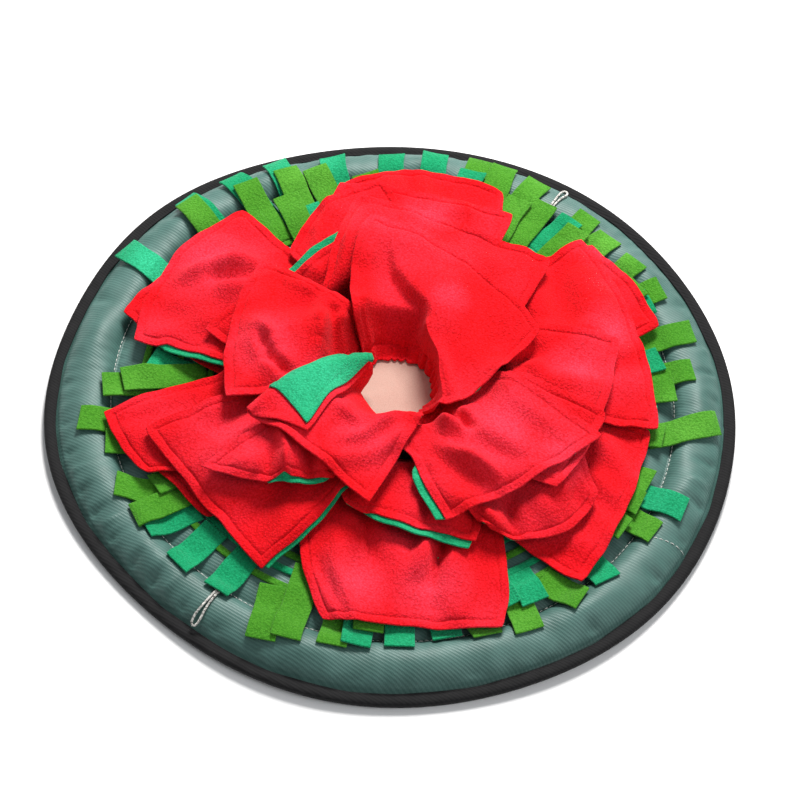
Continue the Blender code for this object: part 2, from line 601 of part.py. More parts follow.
def build_top_petal(pile):
    """The last petal: its left corner is turned over along a line from its root to its tip edge."""
    root_left, root_right, tip_right, tip_left, turned = (
        polar(corner.at, corner.reach / 1000, corner.rise / 1000)
        for corner in (TOP_PETAL[name] for name in
                       ("root_left", "root_right", "tip_right", "tip_left", "turned_tip")))
    fold_line = tip_left - root_left
    away = np.array((-fold_line[1], fold_line[0], 0.0))
    away *= -np.sign(away @ (tip_right - root_left)) / np.linalg.norm(away)
    along = np.linspace(0.0, 1.0, TOP_ROWS + 1)
    flat_lines = np.array([-TOP_BEND_ROOM, *np.linspace(0.0, 1.0, TOP_FLAT_LINES)])
    flat = []
    for v in along:
        left = root_left + fold_line * v
        right = root_right + (tip_right - root_right) * v
        for u in flat_lines:
            place = left + (right - left) * u
            crown = TOP_FOLD_CROWN * math.exp(-(max(u, 0.0) / TOP_CROWN_SPREAD) ** 2)
            open_height = place[2] + crown * math.sin(math.pi * v) - TOP_ROOT_HEIGHT
            place[2] = TOP_ROOT_HEIGHT + open_height * ease((v + TOP_WALL_START) / WALL)
            flat.append(place)
    lying = grid_triangles(len(flat_lines) - 1, TOP_ROWS)
    flat = lay(np.array(flat), lying, PETAL_THICK, pile).reshape(TOP_ROWS + 1, -1, 3)[:, 1:]
    lying = grid_triangles(TOP_FLAT_LINES - 1, TOP_ROWS)
    pile.cover_triangles(flat.reshape(-1, 3)[lying])

    # The turned-over tip, laid on the part that lies flat.
    turned_over = []
    for row in range(TOP_ROWS + 1):
        if row < TOP_PEAK_ROW:
            corner, share = root_left, row / TOP_PEAK_ROW
        else:
            corner, share = tip_left, (TOP_ROWS - row) / (TOP_ROWS - TOP_PEAK_ROW)
        end = corner + (turned - corner) * max(share, TOP_LEAST_TURNED)
        start = flat[row, 0] + (0.0, 0.0, 2 * TOP_FOLD_RADIUS)
        turned_over.append([start + (end - start) * share for share in TOP_TURNED_SHARES])
    tip_grid = np.array(turned_over).reshape(-1, 3)
    tip_triangles = grid_triangles(len(TOP_TURNED_SHARES) - 1, TOP_ROWS)
    tip_grid = lay(tip_grid, tip_triangles, 0.0, pile).reshape(TOP_ROWS + 1, -1, 3)

    points, backward = [], []
    rooms = steepness_room(flat.reshape(-1, 3), lying, 1.0).reshape(TOP_ROWS + 1, -1)
    for row in range(TOP_ROWS + 1):
        for place in tip_grid[row][::-1]:
            points.append(place)
            backward.append((0.0, 0.0, 1.0))
        low, high = flat[row, 0], tip_grid[row, 0]
        radius = (high[2] - low[2]) / 2
        for turn in TOP_FOLD_TURNS:
            bend = math.radians(turn)
            points.append(low + away * radius * math.sin(bend) + (0, 0, radius * (1 - math.cos(bend))))
            backward.append(away * math.sin(bend) + (0, 0, -math.cos(bend)))
        for place, room in zip(flat[row], rooms[row]):
            points.append(place)
            backward.append((0.0, 0.0, -room))
    points, backward = np.array(points), np.array(backward)
    columns = len(points) // (TOP_ROWS + 1)
    triangles = grid_triangles(columns - 1, TOP_ROWS)
    outer = np.arange(len(points)).reshape(TOP_ROWS + 1, columns)[:, 0]
    inside = triangles[~np.isin(triangles, outer).any(axis=1)]
    ply("top_front", points, points + backward * FLEECE, triangles, "red")
    ply("top_back", points + backward * (FLEECE + PLY_GAP), points + backward * PETAL_THICK,
        inside, "jade")


def build_all():
    for old in list(bpy.data.objects):
        bpy.data.objects.remove(old, do_unlink=True)
    parts = bpy.data.collections.new("snuffle_mat")
    bpy.context.scene.collection.children.link(parts)
    pile = Pile()
    pile.cover(build_mat())
    build_tape()
    pile.cover(build_patch())
    for name, angle in LOOPS.items():
        loop = build_loop(name, angle, pile)
        bpy.context.view_layer.update()
        pile.cover(loop)
    for row in ROWS:
        pile.cover(build_fringe(row, pile))
    for petal in PETALS:
        build_petal(petal, pile)
    build_top_petal(pile)


build_all()
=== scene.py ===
"""Snuffle mat: the cloth, thread and finish of a round padded mat with fringes and a flower of petals.

The mat lies flat on the floor, with its middle at x = y = 0.  Plan places are given as an angle in
degrees, counted from +X towards +Y, and a reach from the middle.  Tables hold millimetres and
degrees unless they say otherwise; everything else is in metres.  Each piece of cloth is laid down in
turn on what already lies there.
"""

import math
from collections import namedtuple

import bpy
import numpy as np
from mathutils import Matrix, Vector


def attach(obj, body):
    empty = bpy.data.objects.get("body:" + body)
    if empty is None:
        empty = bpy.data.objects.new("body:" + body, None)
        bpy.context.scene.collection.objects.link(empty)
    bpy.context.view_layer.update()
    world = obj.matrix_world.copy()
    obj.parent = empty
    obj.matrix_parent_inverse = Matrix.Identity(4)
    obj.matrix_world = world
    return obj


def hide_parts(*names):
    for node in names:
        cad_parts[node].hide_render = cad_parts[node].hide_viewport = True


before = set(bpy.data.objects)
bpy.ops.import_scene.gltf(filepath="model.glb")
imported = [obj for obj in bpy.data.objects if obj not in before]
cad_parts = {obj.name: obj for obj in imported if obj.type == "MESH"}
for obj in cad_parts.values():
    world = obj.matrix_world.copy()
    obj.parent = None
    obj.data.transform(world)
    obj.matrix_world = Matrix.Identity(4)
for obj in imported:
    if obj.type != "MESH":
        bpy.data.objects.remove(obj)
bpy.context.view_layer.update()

MM = 0.001

# ---------------------------------------------------------------- sizes, as the model has them

MAT_RADIUS = 0.249          # to the outside of the edge tape
STITCH_RADIUS = 0.204       # the running stitch that closes off the stuffed rim
MIDDLE_TOP = 0.014
CHANNEL_TOP = 0.009
RIM_TOP = 0.021
REST_RADIUS = 0.228         # the underside is flat out to here
RIM_FULLNESS = 0.62
TAPE_WIDTH = 0.0085
TAPE_THICK = 0.0010
SEAM_LOW = 0.0022
SEAM_HIGH = 0.0046
GAP = 0.0003                # between pieces that are sewn together
SEAM_START = MAT_RADIUS - TAPE_WIDTH - TAPE_THICK
SEAM_EDGE = MAT_RADIUS - TAPE_THICK - GAP

PATCH_RADIUS = 0.030
PATCH_THICK = 0.0015
PATCH_SWELL = 0.0004

FLEECE = 0.0015
PLY_GAP = 0.0003
PETAL_THICK = 2 * FLEECE + PLY_GAP
CLEARANCE = 0.0006          # kept under a laid sheet
STEEPEST = 0.50             # least upright share of a sheet's normal that its thickness is reckoned with
WALL = 0.24                 # share of a petal's length in which it climbs out of the throat
ROOT_HEIGHT = 0.021
FOLD_SPREAD = 0.22          # share of a petal's width that its one broad fold takes up

STRIP_WIDTH = 0.020
STRIP_THICK = 0.0016
BAND_WIDTH = 0.005
CORD_DIAMETER = 0.0016

# Slow waves round the mat: how many, how large and where they start, in radians. The sizes are in mm
# for its outline and edge, and shares of its height for the puckers.
Wave = namedtuple("Wave", "turns size phase")
OUTLINE_WAVES = [Wave(2, 1.6, -0.1), Wave(3, 1.1, -2.6), Wave(5, 1.0, 1.2), Wave(6, 1.4, -1.7)]
PUCKER_WAVES = [Wave(8, 0.05, 0.43), Wave(13, 0.07, -1.57), Wave(21, 0.06, -0.57)]
PUCKER_RADIUS, PUCKER_SPREAD = 0.222, 0.012
OUTLINE_START, OUTLINE_BLEND = 0.19, 0.05      # where the outline's waves begin
EDGE_WAVES = [Wave(0, 1.2, 0.0), Wave(7, 0.9, 0.5)]
RAISED_EDGE, RAISED_AT, RAISED_SPREAD = 0.0022, 43, 29      # the edge stands up a little at the back right

# Petals in the order that they are laid: the reach of the root and the angles of its two ends, the two
# tip corners, their heights and that of the petal's shoulder at the throat, how far the tip and the
# sides bow out, and where across it a broad fold lies and how high.
Petal = namedtuple(
    "Petal",
    "name root root_left root_right left_at left_reach right_at right_reach "
    "left_rise right_rise shoulder bow side_bow fold_at fold_rise",
)
PETALS = [
    Petal("upper_left_under", 100, 190, 142, 168, 209, 132, 186, 18, 20, 24, 8, 4, 0.5, 0),
    Petal("upper_left", 92, 186, 128, 175, 193, 131, 196, 24, 24, 36, 17, 3, 0.55, 8),
    Petal("back_under", 100, 118, 52, 106, 190, 70, 203, 30, 25, 30, 15, 4, 0.4, 6),
    Petal("back_outer", 94, 137, 60, 108, 182, 64, 178, 40, 34, 38, 3, 3, 0.5, 3),
    Petal("right_under", 100, 62, 8, 46, 202, 21, 205, 24, 20, 28, 4, 3, 0.5, 0),
    Petal("lower_right", 92, 4, -64, -7, 186, -48, 206, 20, 17, 28, 7, 3, 0.45, -4),
    Petal("right_outer", 92, 50, -12, 47, 193, -7, 191, 34, 28, 36, 13, 3, 0.5, 5),
    Petal("front_outer", 78, 312, 228, 294, 211, 260, 200, 16, 16, 32, 2, 14, 0.5, -6),
    Petal("left_under", 98, 240, 198, 226, 174, 199, 196, 18, 20, 24, 2, 3, 0.5, 0),
    Petal("left_outer", 90, 226, 180, 210, 193, 193, 210, 22, 22, 30, 3, 6, 0.5, 3),
    Petal("back_left", 84, 118, 72, 131, 133, 98, 173, 38, 34, 38, 16, 6, 0.5, 0),
    Petal("upper_left_middle", 78, 186, 116, 171, 143, 112, 128, 36, 40, 40, 3, 3, 0.5, 0),
    Petal("back_middle", 74, 144, 22, 105, 158, 46, 154, 50, 44, 46, 4, 4, 0.5, 3),
    Petal("right_middle", 64, 46, -34, 15, 164, -38, 150, 42, 38, 40, 9, 4, 0.5, 4),
    Petal("front_middle", 64, 325, 252, 294, 152, 257, 118, 30, 38, 38, 4, 10, 0.5, 0),
    Petal("lower_right_middle", 86, 352, 290, 330, 170, 301, 147, 32, 30, 36, 18, 6, 0.4, 4),
    Petal("lower_right_under", 76, 0, -52, 350, 152, 321, 150, 42, 40, 42, 3, 3, 0.5, 0),
    Petal("lower_left", 58, 272, 188, 245, 182, 201, 184, 22, 34, 40, 2, 5, 0.5, 4),
    Petal("upper_left_top", 38, 208, 126, 200, 125, 141, 136, 50, 46, 50, 10, 3, 0.5, 6),
    Petal("left_top", 42, 264, 206, 249, 112, 218, 162, 44, 44, 50, 5, 5, 0.55, 9),
    Petal("lower_right_top", 33, 34, -98, 341, 155, 286, 133, 46, 44, 48, 6, 4, 0.45, -6),
    Petal("back_top", 31, 141, -54, 103, 129, 20, 108, 60, 52, 52, 16, 11, 0.42, 8),
]

# The last petal, which lies on top with its left side turned over along a line from root to tip.
Corner = namedtuple("Corner", "at reach rise")
TOP_PETAL = {
    "root_left": Corner(166, 19, 40),       # where its fold starts, over the patch
    "root_right": Corner(296, 50, 46),
    "tip_right": Corner(265, 120, 50),
    "tip_left": Corner(211, 115, 54),
    "turned_tip": Corner(233, 95, 60),
}
TOP_FOLD_RADIUS = 0.0026
TOP_FOLD_CROWN = 0.010      # how much higher the cloth stands beside the fold
TOP_CROWN_SPREAD = 0.25     # share of its width over which that fades
TOP_BEND_ROOM = 0.06        # share of its width kept clear beside the fold, for the bend
TOP_FOLD_BOW = 0.006
TOP_PINCH = [(0.0, 0.0), (0.05, 12), (0.14, 29), (0.40, 31), (0.60, 33), (0.66, 25), (0.72, 13), (0.85, 5),
             (1.0, 0.0)]    # how far its root is pushed back from a straight line, in mm
TOP_UNDER = 14              # how much less it is pushed where it is sewn down
TOP_RED_MARGIN = 0.005      # outside the green on the turned corner
TOP_GREEN_END = 0.80        # share of the fold's length that is green
TOP_PEAK = 0.6              # share of the fold line's length abreast of the turned-over tip
TOP_LEAST_TURNED = 0.08     # least width of the turned-over part, as a share of its greatest
TOP_BACK_WIDTH, TOP_BACK_LENGTH = 0.95, 0.8     # of its back ply, as shares of the face's
TOP_ROWS, TOP_COLUMNS, TOP_TURNED_COLUMNS = 61, 55, 26      # of its grid, and of the turned-over part
TOP_ROW_SPREAD = 1.25       # its rows lie closer together near the root
TOP_SWELL, TOP_SWELL_LENGTH = 0.0008, 0.045     # broad unevenness of its face
TOP_TURNED_PUFF = 0.002     # the turned-over part stands up a little in its middle

# Rings of strips in the order that they are laid. A ring's radius is in metres. Each strip has an angle,
# the reach of its tip, how many degrees its root lies further round, and how far its tip lifts.
Row = namedtuple("Row", "name cloth radius strips")
Strip = namedtuple("Strip", "at reach lean lift")
ROWS = [
    Row("fringe_lime_outer", "lime", 0.182, [
        Strip(77, 235, 0, 0),
        Strip(65, 232, 1, 0), Strip(52, 226, -1, 0), Strip(38, 221, -1, 0), Strip(30, 224, 0, 0),
        Strip(19, 230, 0, 1), Strip(10, 220, 0, 0), Strip(358, 235, -5, 3), Strip(331, 216, 1, 0),
        Strip(310, 215, -3, 0), Strip(299, 217, 1, 0), Strip(263, 217, 0, 0), Strip(251, 227, -3, 0),
        Strip(209, 214, 6, 0), Strip(193, 227, 2, 3),
    ]),
    Row("fringe_jade_outer", "jade", 0.170, [
        Strip(153, 240, 3, 0), Strip(137, 238, 0, 0), Strip(127, 236, -2, 0), Strip(118, 235, -1, 0),
        Strip(107, 227, 0, 3), Strip(95, 225, 0, 0), Strip(86, 229, 0, 0), Strip(54, 212, 2, 0),
        Strip(37, 205, 0, 3), Strip(28, 210, 0, 0), Strip(14, 199, -2, 0), Strip(338, 226, 0, 0),
        Strip(317, 214, 2, 0), Strip(303, 199, 0, 0), Strip(284, 206, 0, 0), Strip(275, 212, 0, 3),
        Strip(267, 214, 0, 0), Strip(239, 210, 0, 0), Strip(230, 213, -1, 0), Strip(220, 211, 2, 0),
        Strip(165, 202, 0, 4),
    ]),
    Row("fringe_lime_middle", "lime", 0.158, [
        Strip(111, 217, -2, 3), Strip(101, 206, -2, 3), Strip(72, 234, 0, 0), Strip(61, 213, 0, 6),
        Strip(46, 222, -1, 0), Strip(32, 208, 0, 0), Strip(5, 204, 0, 6), Strip(353, 196, 0, 5),
        Strip(341, 196, 0, 4), Strip(328, 198, 0, 6), Strip(291, 211, 0, 0), Strip(269, 202, 0, 2),
        Strip(255, 221, -2, 0), Strip(217, 214, 1, 0), Strip(199, 211, 3, 2), Strip(186, 210, -3, 6),
        Strip(138, 232, 2, 2), Strip(126, 221, 1, 2), Strip(117, 220, 0, 2),
    ]),
    Row("fringe_jade_inner", "jade", 0.146, [
        Strip(147, 197, 0, 4), Strip(116, 182, 0, 4), Strip(78, 217, 0, 2), Strip(358, 190, 0, 3),
        Strip(297, 195, 0, 3), Strip(178, 178, 3, 6),
    ]),
    Row("fringe_lime_inner", "lime", 0.134, [
        Strip(120, 196, 0, 3), Strip(66, 205, 0, 2), Strip(51, 206, 0, 2), Strip(25, 198, 0, 5),
        Strip(335, 197, 0, 4), Strip(322, 195, 0, 5), Strip(185, 196, -4, 8), Strip(212, 190, 0, 0),
        Strip(130, 190, 2, 3), Strip(146, 202, 0, 3),
    ]),
]
LIFT_START = 0.3            # share of a strip's length at which it starts to lift

# The plan of a cord loop, in metres.
LoopPoint = namedtuple("LoopPoint", "reach half_width")
LOOP = [
    LoopPoint(0.2065, 0.0013), LoopPoint(0.2130, 0.0014), LoopPoint(0.2200, 0.0017),
    LoopPoint(0.2270, 0.0026), LoopPoint(0.2320, 0.0034), LoopPoint(0.2352, 0.0030),
    LoopPoint(0.2372, 0.0016),
]
LOOPS = {"cord_loop_front": 239.5, "cord_loop_back": 59.6}
LOOP_STEP = 0.0016
LOOP_WIDTH = 0.7            # of the widths above: the loops are a little narrower than in the model

# ---------------------------------------------------------------- sizes of what is finer than the model

CELL = 0.001                # of the height map that cloth is laid on
PILE_REACH = 0.262
SHEET_CELLS = 72            # cells each way while a petal settles
ROW_SPREAD = 1.3            # its rows lie closer together near the root
SETTLE_PASSES = 40          # how far a sheet's stiffness carries a lift sideways
PETAL_CELL = 0.0038         # cells of a finished petal, away from its sewn edges

# Petals whose roots show in the throat: how close to the middle and how low they are tucked, with how
# many gathers and how deep.
Tuck = namedtuple("Tuck", "reach height gathers depth")
TUCKS = {
    "back_top": Tuck(25.5, 18.2, 13, 4.4),
    "lower_right_top": Tuck(28.5, 18.0, 9, 1.8),
    "upper_left_top": Tuck(29.5, 18.0, 6, 1.8),
    "left_top": Tuck(31.0, 18.0, 5, 1.8),
}
TUCK_SHARE = 0.15           # share of their length that is drawn in
# How far along the cloth from its root a tucked petal's green back starts, where it can't be seen.
LINING_ROOT = {"back_top": 53, "lower_right_top": 32, "upper_left_top": 23, "left_top": 18}
GATHER_BAND = 0.012         # from a tucked root to the stitching above its gathers
GATHER_SEAM_DEPTH, GATHER_SEAM_SPREAD = 1.6, 1.5       # times those of the other seams

SEAM_INSET = 0.006          # of the petals' stitching from their raw edges
SEAM_DEPTH = 0.0010
SEAM_SPREAD = 0.0008
MARGIN_PUFF = 0.0002        # between the stitching and the raw edge
PILLOW = 0.0002             # just inside the stitching
MARGIN_SPLAY, SPLAY_REACH = 0.0002, 0.003      # how far the back ply droops from the face at the raw edge
EDGE_FLARE, FLARE_REACH = 0.3 * MM, 0.002      # how far the face flares up there
LINING_CURL, CURL_REACH = 0.0014, 0.004        # how far the back ply curls up where it shows
LINING_INSET = 0.0022       # the back ply is cut this much smaller where it doesn't show
EDGE_STEPS = (0.0, 0.5, 1.5, 2.9, 4.2, 5.0, 5.5, 6.0, 6.5, 7.0, 8.0, 10.0, 12.5)
SHORT_LINING = {"back_top": 2.2, "lower_right_top": 3.5}       # times as much near these petals' roots
CUT_EDGE = 0.00045          # a raw edge bulges this far past its faces
NORMAL_BLUR = 3             # how far a petal's normals are evened out

# Each petal's main creases, as listed: from one place on it to another, in shares across (from its
# left side) and along (from its root), then half width and height; a trough has a negative height.
Crease = namedtuple("Crease", "u0 v0 u1 v1 width height")
CREASES = {
    "back_top": [
        Crease(0.66, 0.12, 0.98, 0.14, 5, 4), Crease(0.05, 0.95, 0.06, 0.12, 5, 3),
        Crease(0.60, 0.95, 0.74, 0.45, 16, -3),
    ],
    "back_middle": [
        Crease(0.04, 0.85, 0.09, 0.20, 4, 4), Crease(0.13, 0.80, 0.17, 0.20, 4, -6),
        Crease(0.16, 0.62, 0.30, 0.28, 13, -9), Crease(0.30, 0.28, 0.46, 0.06, 13, -9),
        Crease(0.62, 0.80, 0.78, 0.95, 12, -4),
    ],
    "back_outer": [
        Crease(0.10, 0.85, 0.14, 0.25, 5, -4), Crease(0.32, 0.60, 0.50, 0.16, 13, -7),
        Crease(0.60, 0.80, 0.80, 0.95, 10, 4),
    ],
    "upper_left": [
        Crease(0.43, 0.85, 0.65, 0.65, 7, 8), Crease(0.65, 0.65, 0.78, 0.47, 6, 7),
        Crease(0.52, 0.62, 0.66, 0.42, 7, -12), Crease(0.20, 0.90, 0.18, 0.50, 12, -5),
        Crease(0.80, 0.95, 0.92, 0.60, 10, -4), Crease(0.12, 0.80, 0.28, 0.40, 10, 4),
    ],
    "upper_left_top": [
        Crease(0.52, 0.80, 0.40, 0.64, 8, 7), Crease(0.46, 0.76, 0.27, 0.63, 5, -7),
        Crease(0.27, 0.63, 0.13, 0.47, 5, -8), Crease(0.84, 0.28, 0.52, 0.13, 5, -10),
        Crease(0.90, 0.42, 0.62, 0.30, 7, 5), Crease(0.72, 0.66, 0.82, 0.40, 12, -5),
        Crease(0.95, 0.80, 0.98, 0.20, 6, 3),
    ],
    "left_top": [
        Crease(0.80, 0.54, 0.54, 0.72, 3.5, 6), Crease(0.54, 0.72, 0.35, 0.96, 3.5, 7),
        Crease(0.66, 0.74, 0.50, 0.96, 5, -6), Crease(0.40, 0.62, 0.20, 0.92, 6, -8),
        Crease(0.86, 0.86, 0.70, 0.90, 9, 4), Crease(0.20, 0.55, 0.12, 0.90, 8, 5),
    ],
    "front_outer": [
        Crease(0.27, 0.42, 0.38, 0.74, 6, -14), Crease(0.36, 0.44, 0.46, 0.70, 5, 6),
        Crease(0.66, 0.28, 0.63, 0.62, 6, -8), Crease(0.48, 0.40, 0.54, 0.85, 9, 7),
        Crease(0.20, 0.60, 0.22, 0.95, 8, 5), Crease(0.38, 0.74, 0.36, 0.98, 7, -5),
        Crease(0.80, 0.45, 0.86, 0.95, 8, 6), Crease(0.92, 0.66, 0.86, 1.00, 4, -6),
    ],
    "lower_right_top": [
        Crease(0.34, 0.30, 0.72, 0.38, 7, 6), Crease(0.76, 0.46, 0.60, 0.90, 6, 9),
        Crease(0.60, 0.50, 0.46, 0.88, 9, -11), Crease(0.56, 0.20, 0.52, 0.46, 5, -10),
        Crease(0.64, 0.14, 0.66, 0.34, 4, 6), Crease(0.18, 0.40, 0.14, 0.90, 8, 4),
    ],
    "lower_right_middle": [
        Crease(0.66, 0.55, 0.78, 0.90, 5, -10), Crease(0.86, 0.60, 0.94, 0.96, 5, 8),
        Crease(0.50, 0.60, 0.46, 0.90, 9, 6), Crease(0.24, 0.60, 0.18, 0.95, 7, -5),
    ],
    "right_outer": [
        Crease(0.06, 0.66, 0.36, 0.44, 13, -13), Crease(0.30, 0.95, 0.52, 0.55, 10, 5),
        Crease(0.66, 0.95, 0.74, 0.50, 10, -5),
    ],
    "right_middle": [
        Crease(0.22, 0.42, 0.34, 0.26, 8, -12), Crease(0.30, 0.92, 0.42, 0.50, 10, 5),
        Crease(0.62, 0.90, 0.56, 0.55, 12, -4),
    ],
    "lower_right": [
        Crease(0.15, 0.60, 0.32, 0.90, 10, 6), Crease(0.46, 0.55, 0.56, 0.92, 8, -7),
        Crease(0.72, 0.50, 0.86, 0.95, 10, 5),
    ],
    "lower_left": [
        Crease(0.92, 0.40, 0.80, 0.66, 10, -6), Crease(0.70, 0.50, 0.62, 0.95, 12, 5),
        Crease(0.34, 0.50, 0.24, 0.90, 12, -6), Crease(0.08, 0.50, 0.06, 0.95, 6, 3),
    ],
    "left_outer": [
        Crease(0.72, 0.50, 0.66, 0.95, 9, -5), Crease(0.40, 0.50, 0.36, 0.90, 10, 4),
    ],
    "left_under": [
        Crease(0.50, 0.50, 0.50, 0.95, 12, -3),
    ],
    "front_middle": [
        Crease(0.30, 0.40, 0.40, 0.90, 7, -6), Crease(0.14, 0.50, 0.20, 0.95, 7, 5),
    ],
    "back_left": [
        Crease(0.42, 0.60, 0.46, 0.95, 8, -4),
    ],
    "back_under": [
        Crease(0.45, 0.55, 0.42, 0.98, 6, -7), Crease(0.28, 0.60, 0.26, 0.98, 6, 6),
    ],
    "top": [
        Crease(0.78, 0.08, 0.71, 0.48, 4, 7), Crease(0.71, 0.48, 0.58, 0.78, 4.5, 6),
        Crease(0.95, 0.24, 0.84, 0.62, 5, 6), Crease(0.84, 0.62, 0.66, 0.92, 6, 5),
        Crease(0.64, 0.38, 0.40, 0.46, 4, 5), Crease(0.34, 0.14, 0.50, 0.30, 4, 4),
        Crease(0.24, 0.60, 0.46, 0.88, 7, -4),
    ],
}

# Where a petal is pulled aside or pressed down by hand: about this place on it (shares across and
# along, and how far the pull spreads), by so much east, north and up.
Pull = namedtuple("Pull", "u v spread_u spread_v east north up")
PULLS = {
    "back_top": [
        Pull(0.58, 0.10, 0.13, 0.07, -9, 0, 1), Pull(0.80, 0.10, 0.13, 0.07, -9, 1, 0),
        Pull(0.00, 0.18, 0.14, 0.20, -4, 0, 0), Pull(1.00, 0.14, 0.24, 0.16, 8, -13, -3),
        Pull(1.00, 0.40, 0.26, 0.18, 3, -8, 0), Pull(0.00, 0.50, 0.16, 0.40, -3, 0, 2),
    ],
    "upper_left_top": [
        Pull(1.00, 0.30, 0.20, 0.30, 6, 0, 0),
    ],
    "lower_right_top": [
        Pull(0.62, 0.10, 0.14, 0.10, 4, -6, -3),
    ],
}

# Where a petal climbs out of the throat more steeply: from this share across, and how much of the
# usual length of the climb it takes there.
Steep = namedtuple("Steep", "start share")
STEEP = {"back_top": Steep(0.36, 0.30)}
NOT_STEEP = Steep(2.0, 1.0)         # of the other petals
STEEP_BLEND = 0.16          # share of the width over which the climb changes

# Where the green back shows past the face: on which side, how much of the petal is bare there, and
# between which shares of that side. It starts and ends softly over BARE_BLEND.
Bare = namedtuple("Bare", "side share start end")
BARE = {
    "upper_left": Bare("left", 0.035, 0.28, 0.78),
    "upper_left_middle": Bare("tip", 0.12, 0.50, 1.20),
    "lower_left": Bare("left", 0.022, 0.30, 1.10),
    "front_middle": Bare("tip", 0.055, -0.2, 0.80),
    "left_top": Bare("tip", 0.050, -0.2, 0.44),
    "lower_right_top": Bare("right", 0.045, 0.42, 1.10),
}
BARE_BLEND = 0.12

# Folds whose right side stands over their left: how far the left side drops, how sharply on the right
# and how widely on the left, and the line of the fold in shares across and along.
Step = namedtuple("Step", "drop sharp wide line")
STEPS = {
    "back_top": [Step(11, 3.6, 22, [(0.11, 0.86), (0.14, 0.68), (0.18, 0.50), (0.26, 0.33), (0.37, 0.21),
                                    (0.50, 0.12)])],
}

# ---------------------------------------------------------------- small tools

def polar(angle, reach, height=0.0):
    """A point from an angle in degrees, a distance from the middle and a height."""
    turn = math.radians(angle)
    return np.array((reach * math.cos(turn), reach * math.sin(turn), height))


def ease(share):
    """0 to 1 with a soft start and end."""
    share = np.clip(share, 0.0, 1.0)
    return share * share * (3.0 - 2.0 * share)


def bell(distance, width):
    """1 at no distance, falling softly to 0 beyond the width."""
    return np.exp(-(distance / width) ** 2)


def wander(run, seed, length):
    """A smooth uneven wave of about this length along a run, between -1 and 1."""
    total = 0.0
    for step, (size, stretch) in enumerate(((0.55, 1.0), (0.3, 0.59), (0.15, 0.37))):
        phase = 2.4 * seed * (step + 1.7) + step
        total = total + size * np.sin(2 * math.pi * run / (length * stretch) + phase)
    return total


def billow(x, y, seed, length):
    """A smooth uneven swell of about this length over the plan, between -1 and 1."""
    total = 0.0
    for step in range(5):
        turn = 1.9 * step + 0.83 * seed
        across = x * math.cos(turn) + y * math.sin(turn)
        stretch = length * (0.7 + 0.17 * step)
        total = total + np.sin(2 * math.pi * across / stretch + 2.1 * seed * (step + 1))
    return total / 5


def soften(heights, times):
    """Blur a grid of heights, a cell or so each time."""
    for _ in range(times):
        padded = np.pad(heights, 1, mode="edge")
        rows = (padded[:-2] + 2 * padded[1:-1] + padded[2:]) / 4
        heights = (rows[:, :-2] + 2 * rows[:, 1:-1] + rows[:, 2:]) / 4
    return heights


def soften_ways(ways, times):
    """Blur a grid of directions, part by part."""
    return np.stack([soften(ways[..., axis], times) for axis in range(3)], axis=-1)


def swell(heights, cells):
    """Each cell takes the highest value within a few cells."""
    for _ in range(cells):
        padded = np.pad(heights, 1, mode="edge")
        rows = np.maximum(np.maximum(padded[:-2], padded[1:-1]), padded[2:])
        heights = np.maximum(np.maximum(rows[:, :-2], rows[:, 1:-1]), rows[:, 2:])
    return heights


def sample(grid, u, v):
    """A smooth grid of values read at shares u across and v along it."""
    def pull(share, count):
        place = np.clip(share, 0.0, 1.0) * (count - 1)
        cell = np.clip(np.floor(place).astype(int), 0, count - 2)
        t = place - cell
        weights = (-0.5 * t + t ** 2 - 0.5 * t ** 3, 1 - 2.5 * t ** 2 + 1.5 * t ** 3,
                   0.5 * t + 2 * t ** 2 - 1.5 * t ** 3, -0.5 * t ** 2 + 0.5 * t ** 3)
        return [(np.clip(cell + step - 1, 0, count - 1), weight) for step, weight in enumerate(weights)]

    total = 0.0
    for row, row_weight in pull(v, grid.shape[0]):
        for column, column_weight in pull(u, grid.shape[1]):
            total = total + (row_weight * column_weight)[..., None] * grid[row, column]
    return total


def unit(ways):
    """Directions at unit length."""
    return ways / np.maximum(np.linalg.norm(ways, axis=-1, keepdims=True), 1e-12)


def normals_of(grid):
    """Upward unit normals of a grid of points."""
    normals = unit(np.cross(np.gradient(grid, axis=0), np.gradient(grid, axis=1)))
    return normals * np.sign(normals[..., 2].mean() or 1.0)


def run_along(grid, axis):
    """Distance travelled along each row or column of a grid of points, from its start."""
    steps = np.linalg.norm(np.diff(grid, axis=axis), axis=2)
    run = np.cumsum(steps, axis=axis)
    return np.concatenate([np.zeros_like(run.take([0], axis=axis)), run], axis=axis)


def run_of(route):
    """Distance travelled at each point of a route."""
    return np.concatenate([[0.0], np.cumsum(np.linalg.norm(np.diff(route, axis=0), axis=1))])


def along_route(route, run, spots):
    """Points at these distances along a route."""
    return np.column_stack([np.interp(spots, run, route[:, axis]) for axis in range(3)])


def circle(turns, reach, height):
    """Points at these turns, with one reach and height for all or for each."""
    return np.stack([reach * np.cos(turns), reach * np.sin(turns), height + 0 * turns], axis=-1)


def edge_runs(grid):
    """Distances across and along a sheet, its widths and lengths, and the way to its nearest free edge."""
    run_u, run_v = run_along(grid, 1), run_along(grid, 0)
    width, length = run_u[:, -1:], run_v[-1:, :]
    return run_u, run_v, width, length, np.minimum(np.minimum(run_u, width - run_u), length - run_v)


def beside(grid, start, end):
    """How far along a line in plan each point of a grid lies, as a share, and its way from that line."""
    reach = end - start
    share = np.clip(((grid[..., :2] - start) @ reach) / (reach @ reach), 0.0, 1.0)
    return share, grid[..., :2] - start - share[..., None] * reach


# ---------------------------------------------------------------- meshes

